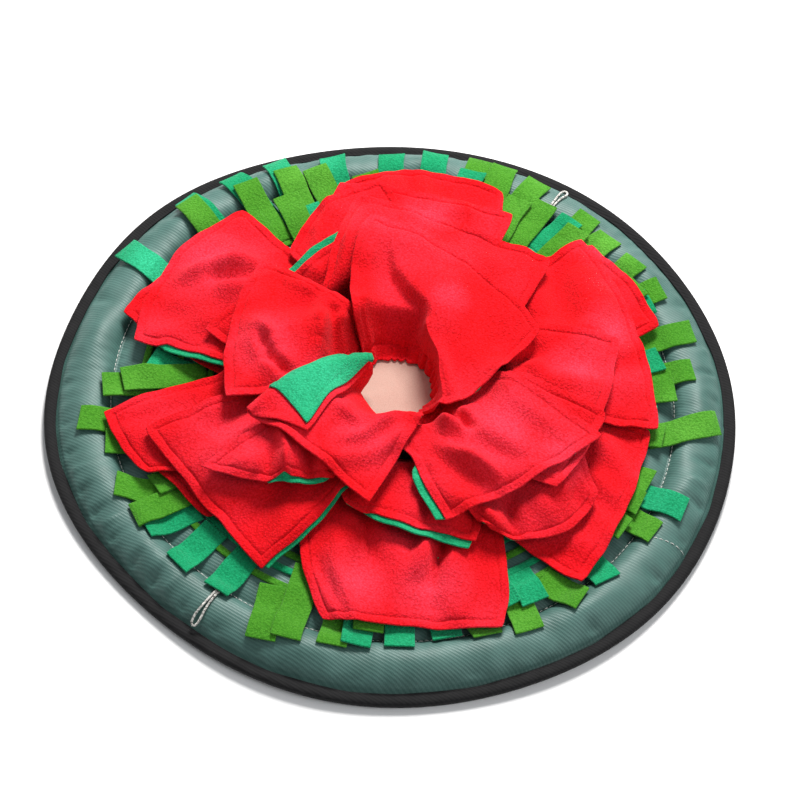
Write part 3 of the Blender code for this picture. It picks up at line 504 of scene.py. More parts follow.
def add_mesh(name, verts, faces, material, smooth=True):
    """A new mesh in the scene, with its finish."""
    mesh = bpy.data.meshes.new(name)
    mesh.from_pydata(np.asarray(verts).tolist(), [], faces)
    mesh.validate()
    mesh.materials.append(material)
    if smooth:
        mesh.shade_smooth()
    thing = bpy.data.objects.new(name, mesh)
    bpy.context.scene.collection.objects.link(thing)
    return thing


def sheet_shell(top, bottom, first=0, rounding=CUT_EDGE):
    """Points and faces of a closed sheet between two grids of points, with rounded cut edges."""
    rows, columns = top.shape[:2]
    index = np.arange(rows * columns).reshape(rows, columns)
    ring = np.concatenate([index[0, :-1], index[:-1, -1], index[-1, :0:-1], index[:0:-1, 0]])
    flat_top, flat_bottom = top.reshape(-1, 3), bottom.reshape(-1, 3)
    middle = (flat_top[ring] + flat_bottom[ring]) / 2
    inner = np.concatenate([index[1, :-1], index[:-1, -2], index[-2, :0:-1], index[:0:-1, 1]])
    middle = middle + unit(flat_top[ring] - flat_top[inner]) * rounding
    verts = np.concatenate([flat_top, flat_bottom, middle])
    turned = np.cross(top[-1, 0] - top[0, 0], top[0, -1] - top[0, 0]) @ (top[0, 0] - bottom[0, 0]) < 0
    quads = np.stack([index[:-1, :-1], index[:-1, 1:], index[1:, 1:], index[1:, :-1]], axis=-1)
    quads = quads.reshape(-1, 4)
    if not turned:
        quads = quads[:, ::-1]
    count = rows * columns
    faces = [quads, quads[:, ::-1] + count]
    after = np.roll(ring, -1)
    edge = 2 * count + np.arange(len(ring))
    edge_after = np.roll(edge, -1)
    upper = np.stack([ring, edge, edge_after, after], axis=1)
    lower = np.stack([edge, ring + count, after + count, edge_after], axis=1)
    if not turned:
        upper, lower = upper[:, ::-1], lower[:, ::-1]
    faces += [upper, lower]
    return verts, (np.concatenate(faces) + first).tolist()


def add_sheet(name, top, bottom, material):
    """A closed sheet in the scene, between two grids of points."""
    return add_mesh(name, *sheet_shell(top, bottom), material)


def closed_quads(rows, columns):
    """Faces of a grid of points that closes on itself both ways."""
    index = np.arange(rows * columns).reshape(rows, columns)
    following, after = np.roll(index, -1, axis=1), np.roll(index, -1, axis=0)
    return np.stack([index, following, np.roll(after, -1, axis=1), after], axis=-1).reshape(-1, 4)


def disc_mesh(name, section, material):
    """A disc from sections, turns x stations x 3, that start and end near its middle."""
    turns, stations = section.shape[:2]
    index = np.arange(turns * stations).reshape(turns, stations)
    after = np.roll(index, -1, axis=0)
    quads = np.stack([index[:, :-1], index[:, 1:], after[:, 1:], after[:, :-1]], axis=-1).reshape(-1, 4)
    middles = [section[:, 0].mean(axis=0), section[:, -1].mean(axis=0)]
    verts = np.concatenate([section.reshape(-1, 3), middles])
    count = turns * stations
    faces = quads.tolist()
    faces += [(count, int(a), int(b)) for a, b in zip(index[:, 0], after[:, 0])]
    faces += [(count + 1, int(b), int(a)) for a, b in zip(index[:, -1], after[:, -1])]
    return add_mesh(name, verts, faces, material)


# ---------------------------------------------------------------- the pile

class Pile:
    """The height of everything laid down so far, cell by cell."""

    def __init__(self):
        self.count = int(round(2 * PILE_REACH / CELL)) + 1
        self.top = np.zeros((self.count, self.count))

    def places(self, points):
        spots = (points[..., :2] + PILE_REACH) / CELL
        return np.clip(spots, 0.0, self.count - 1.001)

    def cover(self, grid, finer=4):
        """Add a grid of points, read finely enough to reach every cell under it."""
        rows, columns = grid.shape[:2]
        along = np.linspace(0, rows - 1, (rows - 1) * finer + 1)
        across = np.linspace(0, columns - 1, (columns - 1) * finer + 1)
        low_row = np.minimum(along.astype(int), rows - 2)
        low_column = np.minimum(across.astype(int), columns - 2)
        t, s = (along - low_row)[:, None, None], (across - low_column)[None, :, None]
        first, last = grid[low_row], grid[low_row + 1]
        dense = ((first[:, low_column] * (1 - s) + first[:, low_column + 1] * s) * (1 - t)
                 + (last[:, low_column] * (1 - s) + last[:, low_column + 1] * s) * t)
        spots = np.rint(self.places(dense)).astype(int)
        np.maximum.at(self.top, (spots[..., 1], spots[..., 0]), dense[..., 2])

    def under(self, points, reach=1):
        """The highest that the pile stands within a few cells of each point."""
        top = swell(self.top, reach)
        spots = self.places(points)
        low = spots.astype(int)
        t = spots - low
        column, row = low[..., 0], low[..., 1]
        return ((top[row, column] * (1 - t[..., 0]) + top[row, column + 1] * t[..., 0]) * (1 - t[..., 1])
                + (top[row + 1, column] * (1 - t[..., 0]) + top[row + 1, column + 1] * t[..., 0]) * t[..., 1])


def settle(grid, thickness, pile, passes=SETTLE_PASSES, reach=2):
    """Lift a sheet's top face until the sheet lies clear of the pile, as evenly as its stiffness asks."""
    settled = grid.copy()
    under = pile.under(grid, reach)
    for _ in range(2):
        upright = np.maximum(np.abs(normals_of(settled)[..., 2]), STEEPEST)
        short = under + CLEARANCE + thickness / upright - grid[..., 2]
        needed = soften(swell(short, 1), 2)
        lift = np.maximum(needed, 0.0)
        for _ in range(passes):
            lift = np.maximum(soften(lift, 1), needed)
        lift = soften(lift, 2)
        lift += soften(swell(np.maximum(short - lift, 0.0), 2), 1)
        settled[..., 2] = grid[..., 2] + lift
    return settled


# ---------------------------------------------------------------- finishes

def new_group(name, inputs, outputs):
    """An empty shader node group: inputs with their usual values, and outputs that are numbers."""
    group = bpy.data.node_groups.new(name, "ShaderNodeTree")
    for label, value in inputs.items():
        kind = "NodeSocketVector" if isinstance(value, tuple) else "NodeSocketFloat"
        socket = group.interface.new_socket(label, in_out="INPUT", socket_type=kind)
        socket.default_value = value
    for label in outputs:
        group.interface.new_socket(label, in_out="OUTPUT", socket_type="NodeSocketFloat")
    start = group.nodes.new("NodeGroupInput")
    end = group.nodes.new("NodeGroupOutput")
    return group, start, end


def set_inputs(made, **values):
    """Set unlinked inputs of a node, by name with _ for a space, or by number after a _."""
    for socket, value in values.items():
        label = int(socket[1:]) if socket.startswith("_") else socket.replace("_", " ")
        made.inputs[label].default_value = value


def add_node(tree, kind, settings=(), **values):
    """A node with its settings and the values of its unlinked inputs."""
    made = tree.nodes.new(kind)
    for setting, value in settings:
        setattr(made, setting, value)
    set_inputs(made, **values)
    return made


def object_place(tree):
    """Where a point lies on its object, for textures that stay with the cloth."""
    return tree.nodes.new("ShaderNodeTexCoord").outputs["Object"]


def maths(tree, operation, first, second=0.0):
    """A Math node fed by sockets or plain numbers."""
    made = tree.nodes.new("ShaderNodeMath")
    made.operation = operation
    for socket, value in zip(made.inputs, (first, second)):
        if isinstance(value, (int, float)):
            socket.default_value = value
        else:
            tree.links.new(value, socket)
    return made.outputs[0]


def times(tree, first, second):
    return maths(tree, "MULTIPLY", first, second)


def plus(tree, first, second):
    return maths(tree, "ADD", first, second)


def remap(tree, value, low, high, to_low=0.0, to_high=1.0):
    """A value stretched from one range to another, and kept within it."""
    made = add_node(tree, "ShaderNodeMapRange", _1=low, _2=high, _3=to_low, _4=to_high)
    tree.links.new(value, made.inputs[0])
    return made.outputs[0]


# Places where painted sheen, a paler pink standing in for the fleece's sheen under the lamps, is laid on:
# where they are and how wide.
SheenSpot = namedtuple("SheenSpot", "east north up reach")
PAINTED_SHEEN_SPOTS = [
    SheenSpot(-114, -73, 40, 34), SheenSpot(-17, -68, 48, 26), SheenSpot(76, -50, 48, 44), SheenSpot(118, -62, 48, 26),
    SheenSpot(-142, 92, 32, 38), SheenSpot(-95, 4, 50, 24), SheenSpot(153, 145, 32, 30), SheenSpot(-18, -169, 22, 26),
    SheenSpot(36, -168, 22, 26), SheenSpot(15, 144, 45, 22), SheenSpot(32, 55, 55, 14), SheenSpot(-55, -35, 58, 30),
    SheenSpot(-191, 95, 25, 26), SheenSpot(214, -13, 22, 28), SheenSpot(131, 13, 42, 20), SheenSpot(154, 57, 34, 20),
]
SHEEN_SPOT_FROM, SHEEN_SPOT_TO = 0.1, 1.4       # shares of its reach between which a spot of painted sheen fades
# The most painted sheen that one spot gives.
SHEEN_SPOT_MOST = 0.85


def nap_group():
    """The pebbled nap of fleece: how light it looks, how high it stands, and where painted sheen, a paler
    pink in place of real sheen, lies on it.
    """
    group, start, end = new_group(
        "fleece_nap", {"Clumps": 620.0, "Patches": 22.0}, ("Tone", "Height", "Brushed"))
    place = object_place(group)
    clumps = add_node(group, "ShaderNodeTexVoronoi", [("feature", "SMOOTH_F1")], Smoothness=0.6)
    curls = add_node(group, "ShaderNodeTexNoise", Detail=3.0, Roughness=0.6, Distortion=0.6)
    patches = add_node(group, "ShaderNodeTexNoise", Detail=2.0)
    sheen_patches = add_node(group, "ShaderNodeTexNoise", Detail=1.0)
    for texture, label, share in ((clumps, "Clumps", 1.0), (curls, "Clumps", 1.7), (patches, "Patches", 1.0),
                                  (sheen_patches, "Patches", 0.6)):
        group.links.new(place, texture.inputs["Vector"])
        scale = start.outputs[label]
        group.links.new(scale if share == 1.0 else times(group, scale, share), texture.inputs["Scale"])
    # The tone follows the nap's height, so the colour carries painted shade between the tufts and is lighter
    # on them; worn adds a tone that differs at random.
    tufts = remap(group, clumps.outputs["Distance"], 0.05, 0.75, 1.0, 0.0)
    fuzz = remap(group, curls.outputs["Fac"], 0.3, 0.7)
    height = plus(group, times(group, tufts, 0.55), times(group, fuzz, 0.45))
    worn = remap(group, patches.outputs["Fac"], 0.3, 0.7, -0.12, 0.12)
    # Painted sheen: a paler pink share in random broad patches and at the listed spots, most on the tufts,
    # standing in for the sheen that lamps give the nap.
    raised = remap(group, sheen_patches.outputs["Fac"], 0.50, 0.80, 0.0, 0.5)
    for spot in PAINTED_SHEEN_SPOTS:
        apart = add_node(group, "ShaderNodeVectorMath", [("operation", "DISTANCE")],
                         _1=(spot.east * MM, spot.north * MM, spot.up * MM))
        group.links.new(place, apart.inputs[0])
        sheen_spot = remap(group, apart.outputs["Value"], SHEEN_SPOT_FROM * spot.reach * MM,
                       SHEEN_SPOT_TO * spot.reach * MM, SHEEN_SPOT_MOST, 0.0)
        raised = maths(group, "MAXIMUM", raised, sheen_spot)
    raised = times(group, raised, remap(group, patches.outputs["Fac"], 0.30, 0.55, 0.45, 1.0))
    raised = times(group, raised, remap(group, height, 0.15, 0.8, 0.35, 1.0))
    group.links.new(raised, end.inputs["Brushed"])
    group.links.new(height, end.inputs["Height"])
    group.links.new(plus(group, height, worn), end.inputs["Tone"])
    return group


def weave_group():
    """Plain-woven threads: the tone and height of yarns that pass over and under one another."""
    group, start, end = new_group(
        "woven_threads", {"Threads": 1400.0, "Ribs": 450.0, "Slubs": 60.0, "Place": (0, 0, 0)},
        ("Tone", "Height"))
    apart = group.nodes.new("ShaderNodeSeparateXYZ")
    group.links.new(start.outputs["Place"], apart.inputs[0])
    slant = plus(group, times(group, apart.outputs["X"], 0.45), times(group, apart.outputs["Y"], 0.89))
    across, along, ribs = (
        maths(group, "SINE", times(group, times(group, way, start.outputs[label]), 2 * math.pi))
        for way, label in ((apart.outputs["X"], "Threads"), (apart.outputs["Y"], "Threads"), (slant, "Ribs")))
    over = times(group, across, along)
    slubs = add_node(group, "ShaderNodeTexNoise", Detail=3.0)
    group.links.new(start.outputs["Place"], slubs.inputs["Vector"])
    group.links.new(start.outputs["Slubs"], slubs.inputs["Scale"])
    height = remap(group, plus(group, times(group, over, 0.45), ribs), -1.45, 1.45)
    uneven_tone = remap(group, slubs.outputs["Fac"], 0.3, 0.7, -0.2, 0.2)
    group.links.new(height, end.inputs["Height"])
    # The tone follows the threads' height, so the colour carries painted shade where the yarns and ribs dip,
    # plus random slubs.
    group.links.new(plus(group, times(group, height, 0.4), uneven_tone), end.inputs["Tone"])
    return group


NAP = nap_group()
WEAVE = weave_group()


def start_material(name, **values):
    """A new material, its node tree and its shader with these values."""
    material = bpy.data.materials.new(name)
    material.use_nodes = True
    tree = material.node_tree
    shader = tree.nodes["Principled BSDF"]
    set_inputs(shader, **values)
    return material, tree, shader


def blend_colours(tree, share, dark, light):
    """A colour between two, by a share."""
    mix = tree.nodes.new("ShaderNodeMix")
    mix.data_type = "RGBA"
    tree.links.new(share, mix.inputs["Factor"])
    mix.inputs["A"].default_value = (*dark, 1.0)
    mix.inputs["B"].default_value = (*light, 1.0)
    return mix.outputs["Result"]


def add_bump(tree, shader, height, depth, strength):
    """Let a height roughen a shader's surface."""
    bump = add_node(tree, "ShaderNodeBump", Strength=strength, Distance=depth)
    tree.links.new(height, bump.inputs["Height"])
    tree.links.new(bump.outputs["Normal"], shader.inputs["Normal"])


# Linear colours of each fleece: between its tufts, with painted shade, on them, and of its painted sheen, a
# paler pink laid on in spots and patches; then the weight and tint of its shader sheen.
Dye = namedtuple("Dye", "dark light brushed sheen sheen_tint")
DYES = {
    "red": Dye((0.58, 0.0003, 0.002), (0.88, 0.006, 0.017), (0.95, 0.058, 0.112), 0.08, (1.0, 0.42, 0.52)),
    "jade": Dye((0.0018, 0.215, 0.080), (0.0075, 0.37, 0.150), (0.050, 0.62, 0.33), 0.26, (0.5, 1.0, 0.85)),
    "lime": Dye((0.037, 0.195, 0.0085), (0.082, 0.315, 0.020), (0.15, 0.47, 0.055), 0.20, (0.75, 1.0, 0.6)),
}


def fleece(cloth):
    """Fleece with a nap raised by brushing: pebbled, with painted shade between the tufts, a soft sheen and
    painted sheen in paler pink spots.
    """
    dye = DYES[cloth]
    material, tree, shader = start_material(
        cloth + "_fleece", Sheen_Weight=dye.sheen, Sheen_Roughness=0.45, Sheen_Tint=(*dye.sheen_tint, 1.0),
        Specular_IOR_Level=0.15)
    nap = add_node(tree, "ShaderNodeGroup", [("node_tree", NAP)])
    # Darker between the tufts and lighter on them: painted shade, with random tone.
    share = remap(tree, nap.outputs["Tone"], 0.1, 0.95)
    tufted = blend_colours(tree, share, dye.dark, dye.light)
    # Painted sheen: the colour goes towards a paler pink where the nap's painted sheen share is high.
    brushed = blend_colours(tree, nap.outputs["Brushed"], dye.dark, dye.brushed)
    tree.links.new(tufted, brushed.node.inputs["A"])
    tree.links.new(brushed, shader.inputs["Base Color"])
    tree.links.new(remap(tree, nap.outputs["Height"], 0.0, 1.0, 1.0, 0.86), shader.inputs["Roughness"])
    add_bump(tree, shader, nap.outputs["Height"], 0.0010, 0.75)
    return material


def woven(name, threads, slubs, tones, dark, light, bump, roughness=None, **values):
    """A woven cloth, whose roughness may go from one value between its threads to another on them."""
    material, tree, shader = start_material(name, **values)
    weave = add_node(tree, "ShaderNodeGroup", [("node_tree", WEAVE)], Threads=threads, Slubs=slubs)
    tree.links.new(object_place(tree), weave.inputs["Place"])
    share = remap(tree, weave.outputs["Tone"], *tones)
    tree.links.new(blend_colours(tree, share, dark, light), shader.inputs["Base Color"])
    if roughness:
        share = remap(tree, weave.outputs["Height"], 0.0, 1.0, *roughness)
        tree.links.new(share, shader.inputs["Roughness"])
    add_bump(tree, shader, weave.outputs["Height"], 0.0003, bump)
    return material


def felt_cloth():
    """Pale felt: matted fibres, faintly blotched."""
    material, tree, shader = start_material("pale_felt", Roughness=0.95, Sheen_Weight=0.2)
    nap = add_node(tree, "ShaderNodeGroup", [("node_tree", NAP)], Clumps=1500.0, Patches=45.0)
    # The felt's tone follows its nap's height too: painted shade between the fibre clumps, with random
    # blotches.
    share = remap(tree, nap.outputs["Tone"], 0.1, 0.95)
    tree.links.new(blend_colours(tree, share, (0.46, 0.29, 0.235), (0.56, 0.385, 0.315)),
                   shader.inputs["Base Color"])
    add_bump(tree, shader, nap.outputs["Height"], 0.00025, 0.3)
    return material


def thread_finish(name, dark, light, fineness):
    """Twisted thread or cord: uneven tone along fine plies."""
    material, tree, shader = start_material(name, Roughness=0.75)
    twist = add_node(tree, "ShaderNodeTexNoise", Scale=fineness, Detail=2.0, Distortion=1.2)
    tree.links.new(object_place(tree), twist.inputs["Vector"])
    share = remap(tree, twist.outputs["Fac"], 0.35, 0.65)
    tree.links.new(blend_colours(tree, share, dark, light), shader.inputs["Base Color"])
    add_bump(tree, shader, twist.outputs["Fac"], 0.0003, 0.7)
    return material


FINISH = {
    "red": fleece("red"),
    "jade": fleece("jade"),
    "lime": fleece("lime"),
    "oxford": woven("grey_green_oxford", 620.0, 55.0, (-0.2, 0.6), (0.034, 0.092, 0.078),
                    (0.076, 0.172, 0.150), 0.5, (0.62, 0.46), Specular_IOR_Level=0.45),
    "tape": woven("black_tape", 500.0, 120.0, (-0.3, 0.9), (0.003, 0.003, 0.0035),
                  (0.012, 0.0115, 0.0125), 0.6, Roughness=0.8, Sheen_Weight=0.04, Specular_IOR_Level=0.2),
    "felt": felt_cloth(),
    "cord": thread_finish("speckled_cord", (0.06, 0.055, 0.05), (0.86, 0.84, 0.78), 620.0),
    "thread": thread_finish("pale_thread", (0.55, 0.55, 0.52), (0.85, 0.85, 0.80), 2600.0),
}


def place_piece(piece, slot, *nodes):
    """A finished piece rides on the mat and stands for its nodes, which are hidden; its slot is not used."""
    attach(piece, "root")
    if nodes:
        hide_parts(*nodes)
    return piece


# ---------------------------------------------------------------- camera, light and floor

CAMERA_PLACE = (0.00434, -0.84741, 1.19283)
CAMERA_RIGHT = (0.99622, 0.07071, 0.05037)
CAMERA_UP = (-0.08681, 0.81140, 0.57801)
CAMERA_LENS, CAMERA_SENSOR = 90.0, 36.0         # mm

Softbox = namedtuple("Softbox", "name place size watts tint")
SOFTBOXES = [
    Softbox("key", (0.15, 1.15, 1.4), 0.7, 56.0, (1.0, 0.98, 0.96)),
    Softbox("fill", (1.1, -0.7, 1.3), 1.2, 9.0, (0.96, 0.98, 1.0)),
    Softbox("side", (-1.3, 0.5, 1.2), 1.0, 3.0, (0.96, 0.98, 1.0)),
]
LIT_POINT = (0, 0, 0.02)
SKY_COLOUR, SKY_STRENGTH = (0.95, 0.97, 1.0, 1.0), 0.29
FLOOR_HALF = 6.0


def build_camera():
    data = bpy.data.cameras.new("camera")
    data.lens = CAMERA_LENS
    data.sensor_width = CAMERA_SENSOR
    data.clip_start = 0.05
    camera = bpy.data.objects.new("camera", data)
    right, up = Vector(CAMERA_RIGHT), Vector(CAMERA_UP)
    turn = Matrix((right, up, right.cross(up))).transposed().to_4x4()
    camera.matrix_world = Matrix.Translation(CAMERA_PLACE) @ turn
    bpy.context.scene.collection.objects.link(camera)
    bpy.context.scene.camera = camera


def add_softbox(box):
    data = bpy.data.lights.new(box.name, "AREA")
    data.shape = "DISK"
    data.size = box.size
    data.energy = box.watts
    data.color = box.tint
    lamp = bpy.data.objects.new(box.name, data)
    lamp.location = box.place
    lamp.rotation_euler = (Vector(LIT_POINT) - Vector(box.place)).to_track_quat("-Z", "Y").to_euler()
    bpy.context.scene.collection.objects.link(lamp)


def build_studio():
    bpy.context.scene.view_settings.view_transform = "Standard"
    world = bpy.data.worlds.new("studio")
    world.use_nodes = True
    set_inputs(world.node_tree.nodes["Background"], Color=SKY_COLOUR, Strength=SKY_STRENGTH)
    bpy.context.scene.world = world
    for box in SOFTBOXES:
        add_softbox(box)
    material, tree, shader = start_material("pale_floor", Roughness=0.9)
    grain = add_node(tree, "ShaderNodeTexNoise", Scale=6.0, Detail=2.0)
    tree.links.new(blend_colours(tree, grain.outputs["Fac"], (0.90, 0.90, 0.90), (0.93, 0.93, 0.93)),
                   shader.inputs["Base Color"])
    corners = [(east * FLOOR_HALF, north * FLOOR_HALF, 0.0)
               for east, north in ((-1, -1), (1, -1), (1, 1), (-1, 1))]
    floor = add_mesh("floor", corners, [(0, 1, 2, 3)], material, smooth=False)


# ---------------------------------------------------------------- the padded mat

MAT_TURNS = 720
MIDDLE_FALL, MIDDLE_FULLNESS = 0.024, 2.4       # how the middle of the cover falls to the stitching
# Gathers round the ring of stitching: how many, how deep, how far they fade and where they begin.
STITCH_PUCKERS, PUCKER_DEPTH, PUCKER_FADE, PUCKER_START = 148, 0.0006, 0.0075, 0.003
# The same for the gathers where the tape draws the cover in.
TAPE_GATHERS, GATHER_DEPTH, GATHER_FADE, GATHER_START = 83, 0.0012, 0.010, 0.004
COVER_SWELL, COVER_SWELL_LENGTH = 0.0007, 0.055         # broad unevenness of the stuffed rim
NEAR_STITCHING = 0.006      # the cover is drawn more finely within this of the ring of stitching
NEAR_SEAM = 0.006           # dents end this far before the seam

# Larger dents in the stuffed rim, as listed: where, how long and wide, and how deep. They were drawn
# once and then made narrower and deeper by the shares below.
Dent = namedtuple("Dent", "at reach length width depth")
DENTS = [
    Dent(165, 234, 10, 6, 1.6), Dent(184, 238, 9, 4, 1.8), Dent(193, 236, 9, 3.5, 1.6),
    Dent(199, 238, 10, 4, 2.2), Dent(203, 235, 9, 3, -1.4), Dent(207, 239, 9, 4, 2.4),
    Dent(212, 236, 11, 4, 2.6), Dent(215, 230, 9, 3.5, -1.6), Dent(218, 237, 10, 3.5, 2.4),
    Dent(224, 238, 9, 4, 2.2), Dent(229, 236, 10, 4, 2.6), Dent(232, 232, 8, 3, -1.2),
    Dent(236, 238, 9, 4, 2.2), Dent(243, 239, 8, 5, 2.0), Dent(251, 240, 8, 4, 1.6),
    Dent(268, 240, 7, 6, 1.4), Dent(287, 238, 8, 7, 1.4), Dent(309, 237, 9, 6, 1.8),
    Dent(324, 236, 10, 5, 1.8), Dent(333, 238, 9, 4, 2.0), Dent(341, 234, 11, 4, 2.0),
    Dent(345, 228, 9, 4, -1.4), Dent(350, 232, 10, 4, 2.0), Dent(4, 236, 9, 5, 1.8),
    Dent(10, 233, 10, 3.5, 2.0), Dent(15, 236, 8, 4, -1.2), Dent(26, 238, 8, 5, 1.8),
    Dent(45, 240, 7, 5, 1.6), Dent(120, 240, 7, 5, 1.4), Dent(142, 238, 8, 5, 1.6),
]
DENT_WIDTH, DENT_DEPTH = 0.8, 1.6


def waves(table, turn):
    """The sum of a table of waves at this turn."""
    return sum(wave.size * np.cos(wave.turns * turn + wave.phase) for wave in table)


def uneven(points):
    """The mat's small faults: an edge that is not quite round, a wavy seam and a puckered rim."""
    x, y, z = points[..., 0], points[..., 1], points[..., 2]
    reach, turn = np.hypot(x, y), np.arctan2(y, x)
    outline = waves(OUTLINE_WAVES, turn) * MM * ease((reach - OUTLINE_START) / OUTLINE_BLEND)
    raised = (turn - math.radians(RAISED_AT)) / math.radians(RAISED_SPREAD)
    edge_lift = waves(EDGE_WAVES, turn) * MM + RAISED_EDGE * np.exp(-raised ** 2)
    edge_lift = edge_lift * ease((reach - REST_RADIUS) / (MAT_RADIUS - REST_RADIUS))
    pucker = waves(PUCKER_WAVES, turn) * bell(reach - PUCKER_RADIUS, PUCKER_SPREAD)
    stretched = 1.0 + outline / np.maximum(reach, PATCH_RADIUS)
    return np.stack([x * stretched, y * stretched, z * (1.0 + pucker) + edge_lift], axis=-1)


def cover_height(reach, turn):
    """Top of the cover before the mat's larger faults: flat middle, stitched channel, stuffed rim."""
    share = np.clip((reach - STITCH_RADIUS) / (SEAM_START - STITCH_RADIUS), 0.0, 1.0)
    rim = CHANNEL_TOP + (SEAM_HIGH - CHANNEL_TOP) * share
    rim = rim + (RIM_TOP - CHANNEL_TOP) * np.maximum(4.0 * share * (1.0 - share), 0.0) ** RIM_FULLNESS
    fall = np.clip((STITCH_RADIUS - reach) / MIDDLE_FALL, 0.0, 1.0)
    middle = CHANNEL_TOP + (MIDDLE_TOP - CHANNEL_TOP) * (1.0 - (1.0 - fall) ** MIDDLE_FULLNESS)
    height = np.where(reach < STITCH_RADIUS, middle, rim)
    run = turn * STITCH_RADIUS
    gathers = np.sin(STITCH_PUCKERS * turn + 2.5 * wander(run, 3, 0.21)) * (0.6 + 0.4 * wander(run, 5, 0.09))
    near = np.abs(reach - STITCH_RADIUS)
    height = height + PUCKER_DEPTH * gathers * np.exp(-near / PUCKER_FADE) * ease(near / PUCKER_START)
    drawn = np.sin(TAPE_GATHERS * turn + 4.0 * wander(run, 8, 0.17)) * (0.55 + 0.45 * wander(run, 11, 0.13))
    before = SEAM_START - reach
    height = height + GATHER_DEPTH * drawn * np.exp(-before / GATHER_FADE) * ease(before / GATHER_START)
    broad = billow(reach * np.cos(turn), reach * np.sin(turn), 4, COVER_SWELL_LENGTH)
    height = height + COVER_SWELL * broad * ease(share * 4)
    for dent in DENTS:
        along = reach - dent.reach * MM
        across = (np.mod(turn - math.radians(dent.at) + math.pi, 2 * math.pi) - math.pi) * reach
        pressed = bell(along, dent.length * MM) * bell(across, DENT_WIDTH * dent.width * MM)
        height = height - DENT_DEPTH * dent.depth * MM * (pressed * ease(before / NEAR_SEAM))
    return height


def build_mat(pile):
    """The cover of the mat: over the top, round the seam and flat below, with its filling taken as firm."""
    turns = np.linspace(0, 2 * math.pi, MAT_TURNS, endpoint=False)
    near, past = STITCH_RADIUS - NEAR_STITCHING, STITCH_RADIUS + NEAR_STITCHING
    reaches = [np.linspace(start, end, count, endpoint=False)
               for start, end, count in ((0.02, 0.17, 12), (0.17, near, 10), (near, past, 9))]
    reaches = np.concatenate(reaches + [np.linspace(past, SEAM_START, 26)])
    reach, turn = np.meshgrid(reaches, turns)
    over = circle(turn, reach, cover_height(reach, turn))
    rest = [circle(turns, SEAM_EDGE, SEAM_HIGH), circle(turns, SEAM_EDGE, SEAM_LOW)]
    for share in np.linspace(0, 1, 6):
        radius = SEAM_START + (REST_RADIUS - SEAM_START) * share
        rest.append(circle(turns, radius, SEAM_LOW * (1 - share) ** 1.6))
    rest += [circle(turns, radius, 0.0) for radius in (0.15, 0.02)]
    section = uneven(np.concatenate([over, np.stack(rest, axis=1)], axis=1))
    section[..., 2] = np.maximum(section[..., 2], 0.0)
    mat = disc_mesh("mat", section, FINISH["oxford"])
    place_piece(mat, "oxford", "padded_mat")
    top = np.concatenate([section[:, :len(reaches)], section[:1, :len(reaches)]])
    pile.cover(top, finer=6)
    inner = np.hypot(*np.meshgrid(*[np.arange(pile.count) * CELL - PILE_REACH] * 2)) < 0.03
    pile.top[inner] = np.maximum(pile.top[inner], MIDDLE_TOP)


TAPE_LIP_WAVE, TAPE_PUFF, TAPE_ROUND = 0.0006, 0.0003, 0.0009


def build_tape():
    """The binding: folded over the seam, its inner edge a little wavy, with a line of topstitching."""
    turns = np.linspace(0, 2 * math.pi, MAT_TURNS, endpoint=False)
    run = turns * MAT_RADIUS
    lip = MAT_RADIUS - TAPE_WIDTH + TAPE_LIP_WAVE * wander(run, 21, 0.08)
    high, low = SEAM_HIGH + GAP, SEAM_LOW - GAP
    puff = TAPE_PUFF * wander(run, 22, 0.03)
    outline = [         # from the inner edge over the top, round the outside and back inside
        (lip, high), (lip - 0.0002, high + 0.5 * TAPE_THICK), (lip + 0.0003, high + TAPE_THICK),
        (lip + 0.0012, high + 0.55 * TAPE_THICK), (lip + 0.0024, high + TAPE_THICK + 0.0002 + puff),
        (MAT_RADIUS - 0.003, high + TAPE_THICK + 0.0003 + puff), (MAT_RADIUS - TAPE_ROUND, high + TAPE_THICK),
        (MAT_RADIUS - 0.0002, high + 0.2 * TAPE_THICK), (MAT_RADIUS, (high + low) / 2),
        (MAT_RADIUS - 0.0002, low - 0.2 * TAPE_THICK), (MAT_RADIUS - TAPE_ROUND, low - TAPE_THICK),
        (lip, low - TAPE_THICK), (lip, low), (MAT_RADIUS - TAPE_THICK, low), (MAT_RADIUS - TAPE_THICK, high),
    ]
    section = uneven(np.stack([circle(turns, radius, height) for radius, height in outline], axis=1))
    section[..., 2] = np.maximum(section[..., 2], 0.0001)
    faces = closed_quads(*section.shape[:2]).tolist()
    tape = add_mesh("binding", section.reshape(-1, 3), faces, FINISH["tape"])
    place_piece(tape, "tape", "edge_tape")


def build_patch(pile):
    """The round felt patch, cut by hand, so its edge is not quite true."""
    turns = np.linspace(0, 2 * math.pi, 96, endpoint=False)
    floor = MIDDLE_TOP + GAP
    edge = PATCH_RADIUS - 0.0003 + 0.0003 * wander(turns, 31, 1.4)
    columns = []
    for share in (0.25, 0.5, 0.75, 0.9, 0.985):
        ring = circle(turns, edge * share, floor + PATCH_THICK)
        ring[:, 2] += PATCH_SWELL * billow(ring[:, 0], ring[:, 1], 2, 0.03) * share
        columns.append(ring)
    for reach, height in ((edge, 0.7), (edge, 0.25), (edge * 0.98, 0.0), (edge * 0.3, 0.0)):
        columns.append(circle(turns, reach, floor + PATCH_THICK * height))
    patch = disc_mesh("patch", np.stack(columns, axis=1), FINISH["felt"])
    place_piece(patch, "felt", "middle_patch")
    x, y = np.meshgrid(np.linspace(-0.03, 0.03, 61), np.linspace(-0.03, 0.03, 61))
    height = np.where(np.hypot(x, y) < PATCH_RADIUS, floor + PATCH_THICK + PATCH_SWELL, 0)
    pile.cover(np.stack([x, y, height], axis=-1), finer=1)


# ---------------------------------------------------------------- cord loops and stitching

